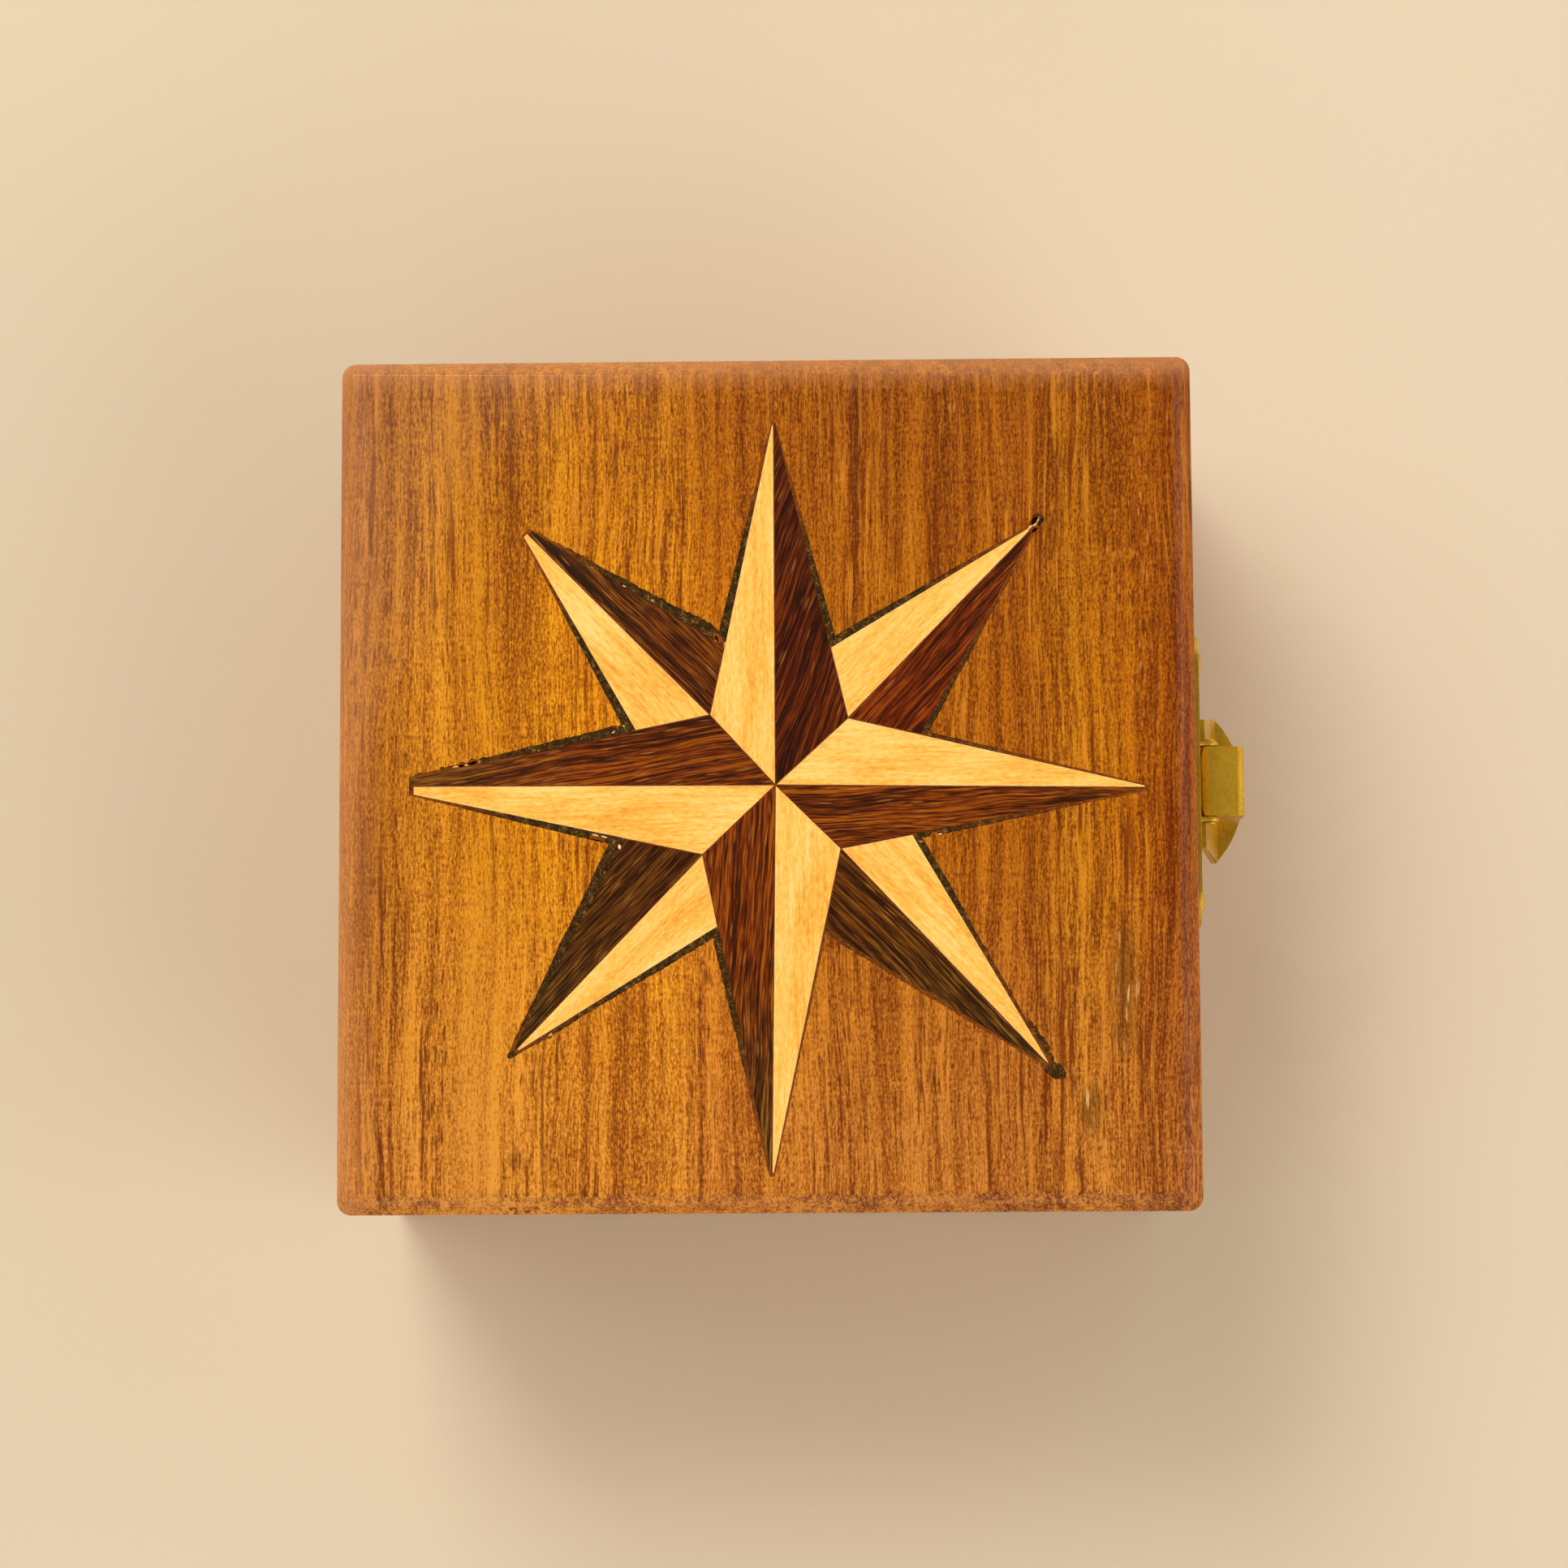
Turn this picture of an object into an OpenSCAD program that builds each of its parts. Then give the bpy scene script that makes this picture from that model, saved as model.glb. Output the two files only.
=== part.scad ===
// Square hardwood box with an eight-armed marquetry star in its lid, two butt hinges and a brass catch.
// Millimetres. +Z up, the catch faces -Y, the hinges are on +Y. Origin: centre of the bottom face.

/* [Box] */
// Width of the box, parallel to the hinge axis
box_w = 100; // [90:1:130]
// Depth of the box, front to back
box_d = 100; // [90:1:130]
// Height of the closed box
box_h = 60; // [50:1:90]
// Height of the lid, board and rim together
lid_h = 16; // [15:0.5:18]
// Thickness of the lid's top board
panel_t = 7; // [6:0.5:8]
// Thickness of the four walls and of the lid's rim
wall_t = 8; // [7.5:0.5:10]
// Thickness of the bottom board
base_t = 5; // [3:0.5:8]
// Radius of the round-over along the lid's top edges
edge_r = 2.4; // [1:0.1:3]
// Radius of the upright corners
corner_r = 1.8; // [1:0.1:3]
// Radius that eases the bottom edges and the edges at the parting line
eased_r = 0.6; // [0.3:0.1:1]

/* [Star] */
// Ideal reach of a main arm from the star's centre, before each arm's own difference
main_reach = 43.5; // [38:0.5:44]
// Ideal reach of a diagonal arm from the star's centre
diagonal_reach = 44; // [38:0.5:46]
// Distance of the inner corners between two main arms from the star's centre
inner_r = 11.3; // [9:0.1:13]
// Thickness of the star pieces
inlay_t = 1.8; // [1:0.1:3]
// Width of the glue line round each star piece
glue_gap = 0.12; // [0.08:0.01:0.2]
// Thickness of the filler under the star pieces
filler_bed = 0.2; // [0.1:0.05:0.4]

/* [Hinges] */
// Length of each hinge
hinge_len = 20; // [16:1:24]
// Distance of each hinge's middle from the middle of the box
hinge_x = 28; // [20:1:30]
// Width of a leaf from the pin's axis to its far edge
leaf_w = 5.4; // [5:0.1:5.6]
// Thickness of a leaf
leaf_t = 0.8; // [0.6:0.05:1]
// Outer radius of the knuckles
knuckle_r = 1.6; // [1.4:0.05:1.7]
// Radius of the hinge pins
hinge_pin_r = 0.8; // [0.6:0.05:0.9]
// Angle at which the chamfered back edges stop the lid
lid_stop = 105; // [95:1:110]

/* [Catch] */
// Length of the two catch plates along the front
plate_w = 34.6; // [32:0.2:40]
// Height of each catch plate
plate_h = 8; // [7.4:0.1:8]
// Thickness of the catch plates
plate_t = 0.8; // [0.6:0.05:0.8]
// Distance of the domed nails from the middle of the catch
nail_x = 14.2; // [12:0.1:14.4]
// Width of the lever's raised middle
hump_w = 8.2; // [7.6:0.1:8.2]
// How far the raised middle stands out from the front of the box
hump_out = 6.3; // [5.8:0.1:6.5]
// Width of the lever's finger lip
lip_w = 17.5; // [15:0.1:18]
// How far the finger lip stands out from the front of the box
lip_out = 7.3; // [6.8:0.1:7.6]

/* [Hidden] */
$fn = 64;

// Colours
lid_wood = "#9c6433";
wall_wood = "#8e5a2e";
light_wood = "#dcb877";
dark_wood = "#4d2415";
filler_brown = "#3a2a1c";
brass = "#b08d3c";

// The parting line: the walls end at wall_top and the lid's rim starts at rim_base
lid_gap = 0.3;
rim_base = box_h - lid_h;
wall_top = rim_base - lid_gap;
panel_base = box_h - panel_t;
front_y = -box_d / 2;
back_y = box_d / 2;
slack = 1; // how far a cutting tool runs past what it cuts

// The hinge axis lies in the middle of the parting gap, a little inside the back face
axis_in = 2;
axis_y = back_y - axis_in;
axis_z = rim_base - lid_gap / 2;
stop_half = lid_stop / 2 + 1; // each chamfer, measured from the level, with a degree of air
groove_r = knuckle_r + 0.3;
groove_len = hinge_len + 1.2;
bore_play = 0.05;
leaf_play = 0.05;
hinge_bore_r = hinge_pin_r + bore_play;
pin_head_t = 0.3;
pin_head_over = 0.3;
pin_head_gap = 0.1;
knuckle_gap = 0.3;
chamfer_start = 0.2; // the chamfers start this far inside the axis, so they never touch
middle_knuckle = 6.6;
hinge_nail_x = 6;
hinge_nail_in = 3.4;
hinge_nail_y = axis_y - hinge_nail_in;
hinge_nail_head_r = 1.1;
hinge_nail_r = 0.5;
hinge_nail_len = 4;
nail_play = 0.02;

// The star: arm 0 points along +X and the rest follow clockwise, seen from above
star_x = -0.6;
star_y = -1;
arm_angle = -45;
// Each arm was cut by hand, so its ideal point falls a little short or long and to one side
arm_trim = [0, -0.5, 0.5, 1.9, 2.6, -0.1, 3.4, -0.2];
arm_lean = [0, -0.2, -0.8, -1.2, -0.8, 0.4, -0.2, -0.85];
// Half width at which each arm's point ends
blunt = [0.12, 0.28, 0.15, 0.12, 0.15, 0.2, 0.9, 0.5];
// How far each inner corner lies from the ideal one, outwards and in degrees (diagonal arms only)
inner_trim = [0, 0.2, 0, -0.7, 0, 0.4, 0, -0.1];
inner_lean = [0, -2.5, 0, 0.4, 0, -1.5, 0, -2.4];
// Share of a main arm's edge, from its point inwards, at which the diagonal arm beside it starts
side_share = [0.768, 0.762, 0.772, 0.756, 0.78, 0.764, 0.78, 0.77];
// How far the recess runs on past the end of each arm and past the corner after it, filled with filler
tip_filler = [0.3, 0.7, 0.4, 0.7, 0.5, 1.5, 0.5, 0.2];
side_filler = [1.45, 0.9, 1.2, 0.5, 1.4, 1.9, 1.65, 1.85];
end_filler = [0.1, 0.08, 0.1, 0.08, 0.1, 0, 0.14, 0.1]; // on either side of an arm's end
recess_deep = inlay_t + filler_bed;
filler_sink = 0.06;

function heading(degrees) = [cos(degrees), sin(degrees)];
function arm_dir(k) = heading(arm_angle * k + arm_lean[k]);
function is_main(k) = k % 2 == 0;
function reach(k) = (is_main(k) ? main_reach : diagonal_reach) + arm_trim[k];
function tip(k) = reach(k) * arm_dir(k);
function inner(k) = (inner_r + inner_trim[k]) * heading(arm_angle * k + inner_lean[k]);
// The corner between arm k and the next one clockwise, on the main arm's straight edge
function main_of(k) = is_main(k) ? k : (k + 1) % 8;
function diagonal_of(k) = is_main(k) ? k + 1 : k;
function side_corner(k) =
    tip(main_of(k)) + side_share[k] * (inner(diagonal_of(k)) - tip(main_of(k)));
// The corner beside arm k, on its counter-clockwise (light) or clockwise (dark) side
function neighbour(k, light) = light ? (k + 7) % 8 : k;
function half_triangle(k, light) = is_main(k)
    ? [[0, 0], inner(light ? (k + 7) % 8 : k + 1), tip(k)]
    : [inner(k), side_corner(neighbour(k, light)), tip(k)];

// A triangle drawn in on every side by the same distance, about its incentre
function inset(t, by) =
    let (a = norm(t[1] - t[2]), b = norm(t[2] - t[0]), c = norm(t[0] - t[1]))
    let (p = a + b + c, mid = (a * t[0] + b * t[1] + c * t[2]) / p)
    let (area = abs(cross(t[1] - t[0], t[2] - t[0])) / 2)
    let (s = 1 - by * p / (2 * area))
    [for (v = t) mid + s * (v - mid)];

// The point's width across the arm grows from nothing at the tip, so the cut falls where it is `blunt`
function blunt_cut(t, k) =
    let (half = abs(cross(arm_dir(k), t[1] - t[0])), s = blunt[k] / half)
    [t[0], t[1], t[2] + s * (t[1] - t[2]), t[2] + s * (project_on(t[1], t[0], t[2]) - t[2])];
function project_on(v, a, b) = a + (b - a) * ((v - a) * (b - a)) / ((b - a) * (b - a));

function star_outline(k, light) = blunt_cut(inset(half_triangle(k, light), glue_gap / 2), k);
function end_reach(k) = star_outline(k, true)[2] * arm_dir(k);
function turned_left(v) = [-v[1], v[0]];
function recess_end(k, side) =
    (end_reach(k) + tip_filler[k]) * arm_dir(k)
    + side * (blunt[k] + end_filler[k]) * turned_left(arm_dir(k));
function recess_outline() = [for (k = [0 : 7]) each [
    recess_end(k, 1),
    recess_end(k, -1),
    side_corner(k) * (1 + side_filler[k] / norm(side_corner(k)))
]];

// The catch. `out` is measured from the front of the box, along -Y
clasp_x = 0.5;
lid_plate_down = 10; // from the top of the lid to the upper plate's middle
plate_margin = 0.4; // between the parting line and the lower plate
stud_up = 2; // the stud and the pivot sit off their plates' middles
pivot_down = 0.8;
pivot_out = 2.2;
lid_plate_z = box_h - lid_plate_down;
body_plate_z = wall_top - plate_margin - plate_h / 2;
stud_z = body_plate_z + stud_up;
pivot_z = lid_plate_z - pivot_down;
clasp_pin_r = 0.48;
clasp_bore_r = clasp_pin_r + bore_play;
barrel_r = 1.25;
ear_t = 0.5;
ear_gap = 0.15;
ear_r = 1.1;
pin_end_t = 0.3;
pin_end_r = 0.75;
hump_wall = 0.8;
hump_round = 1;
hump_top = pivot_z + barrel_r;
lip_down = 3.4; // the finger lip lies this far below the stud
lip_z = stud_z - lip_down;
lip_t = 0.8;
shield_t = 0.7;
shield_down = 1.9; // from the pivot to the shield's top edge
shield_top_z = pivot_z - shield_down;
shield_top_w = 15.4;
shield_top_out = 1.95;
ridge_out = 4;
lip_round = 12.9;
barrel_round = 14;
sill = 0.8; // brass left below the hollow for the stud, and bar_wall above it
bar_wall = 0.2;
barrel_join = 20; // angle at which the shield's back meets the barrel
window_z = lip_z + lip_t + sill;
stud_neck_r = 1.1;
stud_head_r = 1.6;
stud_head_out = 3.2;
nail_head_r = 1.55;
nail_head_h = 0.65;
nail_r = 0.5;
nail_len = 6;

// Takes a profile drawn as [Y, Z] and runs it along X, centred
module along_x(width) {
    translate([-width / 2, 0, 0])
        rotate([90, 0, 90])
            linear_extrude(width)
                children();
}

// Takes a profile drawn as [X, Z] and runs it outwards from the front of the box
module outwards(from, to) {
    translate([clasp_x, front_y - from, 0])
        rotate([90, 0, 0])
            linear_extrude(to - from)
                children();
}

// The quarter of a corner that a round-over takes away
module corner_waste(r) {
    difference() {
        square(r + slack);
        circle(r);
    }
}

// A board-shaped block, centred in plan, with rounded upright corners and rounded top and bottom edges
module eased_block(w, d, z0, z1, top_r, bottom_r) {
    difference() {
        translate([-w / 2, -d / 2, z0])
            cube([w, d, z1 - z0]);
        for (side = [0 : 3])
            rotate(90 * side)
                upright_waste(side % 2 == 0 ? w : d, side % 2 == 0 ? d : w, z0, z1);
        for (side = [0 : 3])
            rotate(90 * side)
                edge_waste(side % 2 == 0 ? w : d, side % 2 == 0 ? d : w, z0, z1, top_r, bottom_r);
    }
}

module upright_waste(w, d, z0, z1) {
    translate([w / 2 - corner_r, d / 2 - corner_r, z0 - slack])
        linear_extrude(z1 - z0 + 2 * slack)
            corner_waste(corner_r);
}

module edge_waste(w, d, z0, z1, top_r, bottom_r) {
    along_x(w + 2 * slack)
        translate([d / 2 - top_r, z1 - top_r])
            corner_waste(top_r);
    along_x(w + 2 * slack)
        translate([d / 2 - bottom_r, z0 + bottom_r])
            mirror([0, 1])
                corner_waste(bottom_r);
}

// The space between the hinge's chamfers: above the axis for the lid, below it for the body
module stop_chamfer(up) {
    deep = axis_in + slack;
    translate([0, axis_y, axis_z])
        along_x(box_w + 2 * slack)
            polygon([
                [-chamfer_start, 0],
                [deep, 0],
                [deep, up * (deep + chamfer_start) * tan(stop_half)]
            ]);
}

module hinge_groove() {
    for (side = [-1, 1])
        translate([side * hinge_x - groove_len / 2, axis_y, axis_z])
            rotate([0, 90, 0])
                cylinder(h = groove_len, r = groove_r);
}

module leaf_mortises(up) {
    for (side = [-1, 1])
        translate([side * hinge_x, axis_y, up > 0 ? rim_base : wall_top - leaf_t])
            translate([-hinge_len / 2 - leaf_play, -leaf_w - leaf_play, up > 0 ? -slack : 0])
                cube([hinge_len + 2 * leaf_play, leaf_w + leaf_play, leaf_t + slack]);
}

module hinge_nail(grow) {
    taper = hinge_nail_head_r - hinge_nail_r;
    translate([0, 0, -taper])
        cylinder(h = taper, r1 = hinge_nail_r + grow, r2 = hinge_nail_head_r + grow);
    translate([0, 0, -hinge_nail_len])
        cylinder(h = hinge_nail_len - taper / 2, r = hinge_nail_r + grow);
}

// The nails of both hinges, hanging down from the body's parting face or up into the lid
module hinge_nails(up, grow = 0) {
    for (side = [-1, 1], x = [-hinge_nail_x, hinge_nail_x])
        translate([side * hinge_x + x, hinge_nail_y, up > 0 ? rim_base : wall_top])
            rotate([up > 0 ? 180 : 0, 0, 0])
                hinge_nail(grow);
}

module clasp_nail(grow) {
    head_sphere = (nail_head_r * nail_head_r + nail_head_h * nail_head_h) / (2 * nail_head_h);
    translate([0, 0, -nail_len])
        cylinder(h = nail_len + nail_head_h / 2, r = nail_r + grow);
    intersection() {
        translate([0, 0, nail_head_h - head_sphere])
            sphere(head_sphere);
        cylinder(h = nail_head_h + slack, r = nail_head_r + slack);
    }
}

// The two domed nails of a catch plate, seen from the front
module clasp_nails(z, grow = 0) {
    for (x = [-nail_x, nail_x])
        translate([clasp_x + x, front_y - plate_t, z])
            rotate([90, 0, 0])
                clasp_nail(grow);
}

// --- Lid ---

module lid_block() {
    eased_block(box_w, box_d, rim_base, box_h, edge_r, eased_r);
}

module lid_panel() {
    color(lid_wood)
        difference() {
            lid_block();
            translate([-box_w, -box_d, rim_base - slack])
                cube([2 * box_w, 2 * box_d, panel_base - rim_base + slack]);
            translate([star_x, star_y, box_h - recess_deep])
                linear_extrude(recess_deep + slack)
                    polygon(recess_outline());
        }
}

// One bar of a rim or wall frame, cut from a block: front and back bars run the full width
module frame_bar(side, z0, z1) {
    y_in = box_d / 2 - wall_t;
    x_in = box_w / 2 - wall_t;
    if (side == "front")
        translate([-box_w, -box_d, z0])
            cube([2 * box_w, box_d - y_in, z1 - z0]);
    if (side == "back")
        translate([-box_w, y_in, z0])
            cube([2 * box_w, box_d - y_in, z1 - z0]);
    if (side == "left")
        translate([-box_w, -y_in, z0])
            cube([box_w - x_in, 2 * y_in, z1 - z0]);
    if (side == "right")
        translate([x_in, -y_in, z0])
            cube([box_w - x_in, 2 * y_in, z1 - z0]);
}

module lid_rail(side) {
    color(lid_wood)
        intersection() {
            lid_block();
            frame_bar(side, rim_base - slack, panel_base);
        }
}

module lid_rail_front() {
    difference() {
        lid_rail("front");
        clasp_nails(lid_plate_z, nail_play);
    }
}

module lid_rail_back() {
    difference() {
        lid_rail("back");
        stop_chamfer(1);
        hinge_groove();
        leaf_mortises(1);
        hinge_nails(1, nail_play);
    }
}

module lid_rail_left() {
    lid_rail("left");
}

module lid_rail_right() {
    lid_rail("right");
}

// Half of arm k: the light half on its counter-clockwise side or the dark half on the other
module star_shape(k, light) {
    polygon(star_outline(k, light));
}

module star_piece(k, light) {
    color(light ? light_wood : dark_wood)
        translate([star_x, star_y, box_h - inlay_t])
            linear_extrude(inlay_t)
                star_shape(k, light);
}

module inlay_filler() {
    color(filler_brown)
        translate([star_x, star_y, box_h - recess_deep]) {
            linear_extrude(filler_bed)
                polygon(recess_outline());
            linear_extrude(recess_deep - filler_sink)
                difference() {
                    polygon(recess_outline());
                    for (k = [0 : 7], light = [true, false])
                        star_shape(k, light);
                }
        }
}

// --- Body ---

module body_block() {
    eased_block(box_w, box_d, 0, wall_top, eased_r, eased_r);
}

module wall(side) {
    color(wall_wood)
        intersection() {
            body_block();
            frame_bar(side, -slack, wall_top + slack);
        }
}

module wall_front() {
    difference() {
        wall("front");
        clasp_nails(body_plate_z, nail_play);
    }
}

module wall_back() {
    difference() {
        wall("back");
        stop_chamfer(-1);
        hinge_groove();
        leaf_mortises(-1);
        hinge_nails(-1, nail_play);
    }
}

module wall_left() {
    wall("left");
}

module wall_right() {
    wall("right");
}

module bottom_panel() {
    color(wall_wood)
        translate([wall_t - box_w / 2, wall_t - box_d / 2, 0])
            cube([box_w - 2 * wall_t, box_d - 2 * wall_t, base_t]);
}

// --- Hinges ---

module knuckle(x0, x1, r) {
    translate([x0, axis_y, axis_z])
        rotate([0, 90, 0])
            cylinder(h = x1 - x0, r = r);
}

// A leaf with its knuckles: the body's leaf has the middle one and the lid's leaf the outer two
module leaf(up) {
    outer = hinge_len / 2;
    middle = middle_knuckle / 2;
    own = up > 0
        ? [[-outer, -middle - knuckle_gap], [middle + knuckle_gap, outer]]
        : [[-middle, middle]];
    other = up > 0
        ? [[-middle - knuckle_gap, middle + knuckle_gap]]
        : [[-outer - slack, -middle], [middle, outer + slack]];
    color(brass)
        difference() {
            union() {
                difference() {
                    translate([-outer, axis_y - leaf_w, up > 0 ? rim_base : wall_top - leaf_t])
                        cube([hinge_len, leaf_w, leaf_t]);
                    for (span = other)
                        knuckle(span[0], span[1], groove_r);
                }
                for (span = own)
                    knuckle(span[0], span[1], knuckle_r);
            }
            knuckle(-outer - slack, outer + slack, hinge_bore_r);
            for (x = [-hinge_nail_x, hinge_nail_x])
                translate([x, hinge_nail_y, up > 0 ? rim_base : wall_top])
                    rotate([up > 0 ? 180 : 0, 0, 0])
                        hinge_nail(nail_play);
        }
}

module hinge_pin() {
    half = hinge_len / 2 + pin_head_gap;
    color(brass) {
        knuckle(-half, half, hinge_pin_r);
        for (x = [-half - pin_head_t, half])
            knuckle(x, x + pin_head_t, hinge_pin_r + pin_head_over);
    }
}

module at_hinge(side) {
    translate([side * hinge_x, 0, 0])
        children();
}

module hinge_left_lid_leaf() {
    at_hinge(-1)
        leaf(1);
}

module hinge_left_body_leaf() {
    at_hinge(-1)
        leaf(-1);
}

module hinge_left_pin() {
    at_hinge(-1)
        hinge_pin();
}

module hinge_right_lid_leaf() {
    at_hinge(1)
        leaf(1);
}

module hinge_right_body_leaf() {
    at_hinge(1)
        leaf(-1);
}

module hinge_right_pin() {
    at_hinge(1)
        hinge_pin();
}

module hinge_lid_nails() {
    color(brass)
        hinge_nails(1);
}

module hinge_body_nails() {
    color(brass)
        hinge_nails(-1);
}

// --- Catch ---

// A bar with round ends, drawn as [X, Z]
module plate_outline(z) {
    straight = plate_w - plate_h;
    translate([-straight / 2, z - plate_h / 2])
        square([straight, plate_h]);
    for (side = [-1, 1])
        translate([side * straight / 2, z])
            circle(plate_h / 2);
}

// A round bar along X through the lever's pivot
module at_pivot(x0, x1, r) {
    translate([clasp_x + x0, front_y - pivot_out, pivot_z])
        rotate([0, 90, 0])
            cylinder(h = x1 - x0, r = r);
}

module clasp_lid_plate() {
    ear_x = hump_w / 2 + ear_gap;
    color(brass)
        difference() {
            union() {
                outwards(0, plate_t)
                    plate_outline(lid_plate_z);
                for (x = [-ear_x - ear_t, ear_x]) {
                    outwards(plate_t / 2, pivot_out)
                        translate([x, pivot_z - ear_r])
                            square([ear_t, 2 * ear_r]);
                    at_pivot(x, x + ear_t, ear_r);
                }
            }
            clasp_nails(lid_plate_z, nail_play);
            at_pivot(-lip_w, lip_w, clasp_pin_r + nail_play);
        }
}

module clasp_pin() {
    half = hump_w / 2 + ear_gap + ear_t;
    color(brass) {
        at_pivot(-half, half, clasp_pin_r);
        for (x = [-half - pin_end_t, half])
            at_pivot(x, x + pin_end_t, pin_end_r);
    }
}

module clasp_body_plate() {
    color(brass)
        difference() {
            union() {
                outwards(0, plate_t)
                    plate_outline(body_plate_z);
                outwards(plate_t / 2, stud_head_out)
                    translate([0, stud_z])
                        circle(stud_neck_r);
                translate([clasp_x, front_y - stud_head_out, stud_z])
                    sphere(stud_head_r);
            }
            clasp_nails(body_plate_z, nail_play);
        }
}

module clasp_lid_nails() {
    color(brass)
        clasp_nails(lid_plate_z);
}

module clasp_body_nails() {
    color(brass)
        clasp_nails(body_plate_z);
}

// Side view of the raised middle: a rolled top, a flat front and the shield's slope at its back
module hump_profile() {
    translate([-hump_out + hump_round, hump_top - hump_round])
        circle(hump_round);
    translate([-hump_out, lip_z])
        square([hump_out - ridge_out + shield_t, hump_top - hump_round - lip_z]);
    translate([-hump_out + hump_round, hump_top - hump_round])
        square([hump_out - hump_round - pivot_out, hump_round]);
    polygon([
        [-ridge_out, lip_z],
        [shield_t - ridge_out, lip_z],
        [shield_t - shield_top_out, shield_top_z],
        [-pivot_out + barrel_r * cos(barrel_join), pivot_z - barrel_r * sin(barrel_join)],
        [-pivot_out, hump_top],
        [-ridge_out, hump_top]
    ]);
}

// The sloping shield, seen from the side
module shield_profile() {
    polygon([
        [-ridge_out, lip_z],
        [shield_t - ridge_out, lip_z],
        [shield_t - shield_top_out, shield_top_z],
        [-shield_top_out, shield_top_z],
        [-ridge_out, lip_z + lip_t]
    ]);
}

module shield() {
    translate([clasp_x, front_y, 0])
        intersection() {
            along_x(lip_w)
                shield_profile();
            rotate([90, 0, 0])
                translate([0, 0, -slack])
                    linear_extrude(hump_out + slack)
                        polygon([
                            [-lip_w / 2, lip_z], [lip_w / 2, lip_z],
                            [shield_top_w / 2, shield_top_z], [-shield_top_w / 2, shield_top_z]
                        ]);
        }
}

// The level finger lip with its round front edge
module lip() {
    translate([clasp_x, front_y, lip_z])
        linear_extrude(lip_t)
            intersection() {
                translate([0, lip_round - lip_out])
                    circle(lip_round);
                translate([-lip_w / 2, -lip_out - slack])
                    square([lip_w, lip_out + slack - ridge_out + shield_t / 2]);
            }
}

module clasp_lever() {
    color(brass)
        difference() {
            union() {
                shield();
                lip();
                intersection() {
                    translate([clasp_x, front_y, 0])
                        along_x(hump_w)
                            hump_profile();
                    translate([clasp_x, front_y - pivot_out + barrel_r - barrel_round, lip_z])
                        cylinder(h = hump_top - lip_z + slack, r = barrel_round);
                }
                intersection() {
                    at_pivot(-hump_w / 2, hump_w / 2, barrel_r);
                    translate([clasp_x, front_y - pivot_out + barrel_r - barrel_round, lip_z])
                        cylinder(h = hump_top - lip_z + slack, r = barrel_round);
                }
            }
            hump_hollow();
            at_pivot(-lip_w, lip_w, clasp_bore_r);
        }
}

// The space inside the raised middle, open towards the box, that the stud sits in
module hump_hollow() {
    inner_w = hump_w - 2 * hump_wall;
    top = pivot_z - barrel_r - bar_wall;
    translate([clasp_x - inner_w / 2, front_y - hump_out + hump_wall, window_z])
        cube([inner_w, hump_out, top - window_z]);
    translate([clasp_x - inner_w / 2, front_y - hump_out + hump_wall, window_z])
        cube([inner_w, hump_out - hump_wall - pivot_out - barrel_r, hump_top - hump_wall - window_z]);
}

lid_panel();
lid_rail_front();
lid_rail_back();
lid_rail_left();
lid_rail_right();
star_piece(0, true);  // star_n_light
star_piece(0, false);  // star_n_dark
star_piece(1, true);  // star_ne_light
star_piece(1, false);  // star_ne_dark
star_piece(2, true);  // star_e_light
star_piece(2, false);  // star_e_dark
star_piece(3, true);  // star_se_light
star_piece(3, false);  // star_se_dark
star_piece(4, true);  // star_s_light
star_piece(4, false);  // star_s_dark
star_piece(5, true);  // star_sw_light
star_piece(5, false);  // star_sw_dark
star_piece(6, true);  // star_w_light
star_piece(6, false);  // star_w_dark
star_piece(7, true);  // star_nw_light
star_piece(7, false);  // star_nw_dark
inlay_filler();
wall_front();
wall_back();
wall_left();
wall_right();
bottom_panel();
hinge_left_lid_leaf();
hinge_left_body_leaf();
hinge_left_pin();
hinge_right_lid_leaf();
hinge_right_body_leaf();
hinge_right_pin();
hinge_lid_nails();
hinge_body_nails();
clasp_lid_plate();
clasp_pin();
clasp_lever();
clasp_body_plate();
clasp_lid_nails();
clasp_body_nails();
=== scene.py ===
import math
import random

import bmesh
import bpy
from mathutils import Matrix, Vector, noise


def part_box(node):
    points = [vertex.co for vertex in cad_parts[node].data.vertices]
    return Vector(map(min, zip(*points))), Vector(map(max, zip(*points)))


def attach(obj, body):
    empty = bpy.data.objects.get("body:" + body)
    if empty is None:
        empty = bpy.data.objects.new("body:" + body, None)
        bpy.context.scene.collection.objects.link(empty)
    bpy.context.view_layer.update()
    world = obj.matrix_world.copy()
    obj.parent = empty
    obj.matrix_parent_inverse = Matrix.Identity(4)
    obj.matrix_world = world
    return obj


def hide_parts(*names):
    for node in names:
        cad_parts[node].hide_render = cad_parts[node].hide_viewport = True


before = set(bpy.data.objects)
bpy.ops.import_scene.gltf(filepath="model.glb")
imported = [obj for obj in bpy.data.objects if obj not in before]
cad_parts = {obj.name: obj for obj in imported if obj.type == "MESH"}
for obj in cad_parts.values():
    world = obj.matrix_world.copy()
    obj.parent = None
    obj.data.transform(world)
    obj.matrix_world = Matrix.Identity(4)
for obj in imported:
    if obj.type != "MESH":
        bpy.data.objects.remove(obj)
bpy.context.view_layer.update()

# ------------------------------------------------------------------ measures
# Lengths below are millimetres unless a name says otherwise. Meshes are drawn in millimetres and scaled
# to metres once, when they become objects.

MM = 0.001
SEED = 7
WAVE_LEVEL = 7.31

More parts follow.
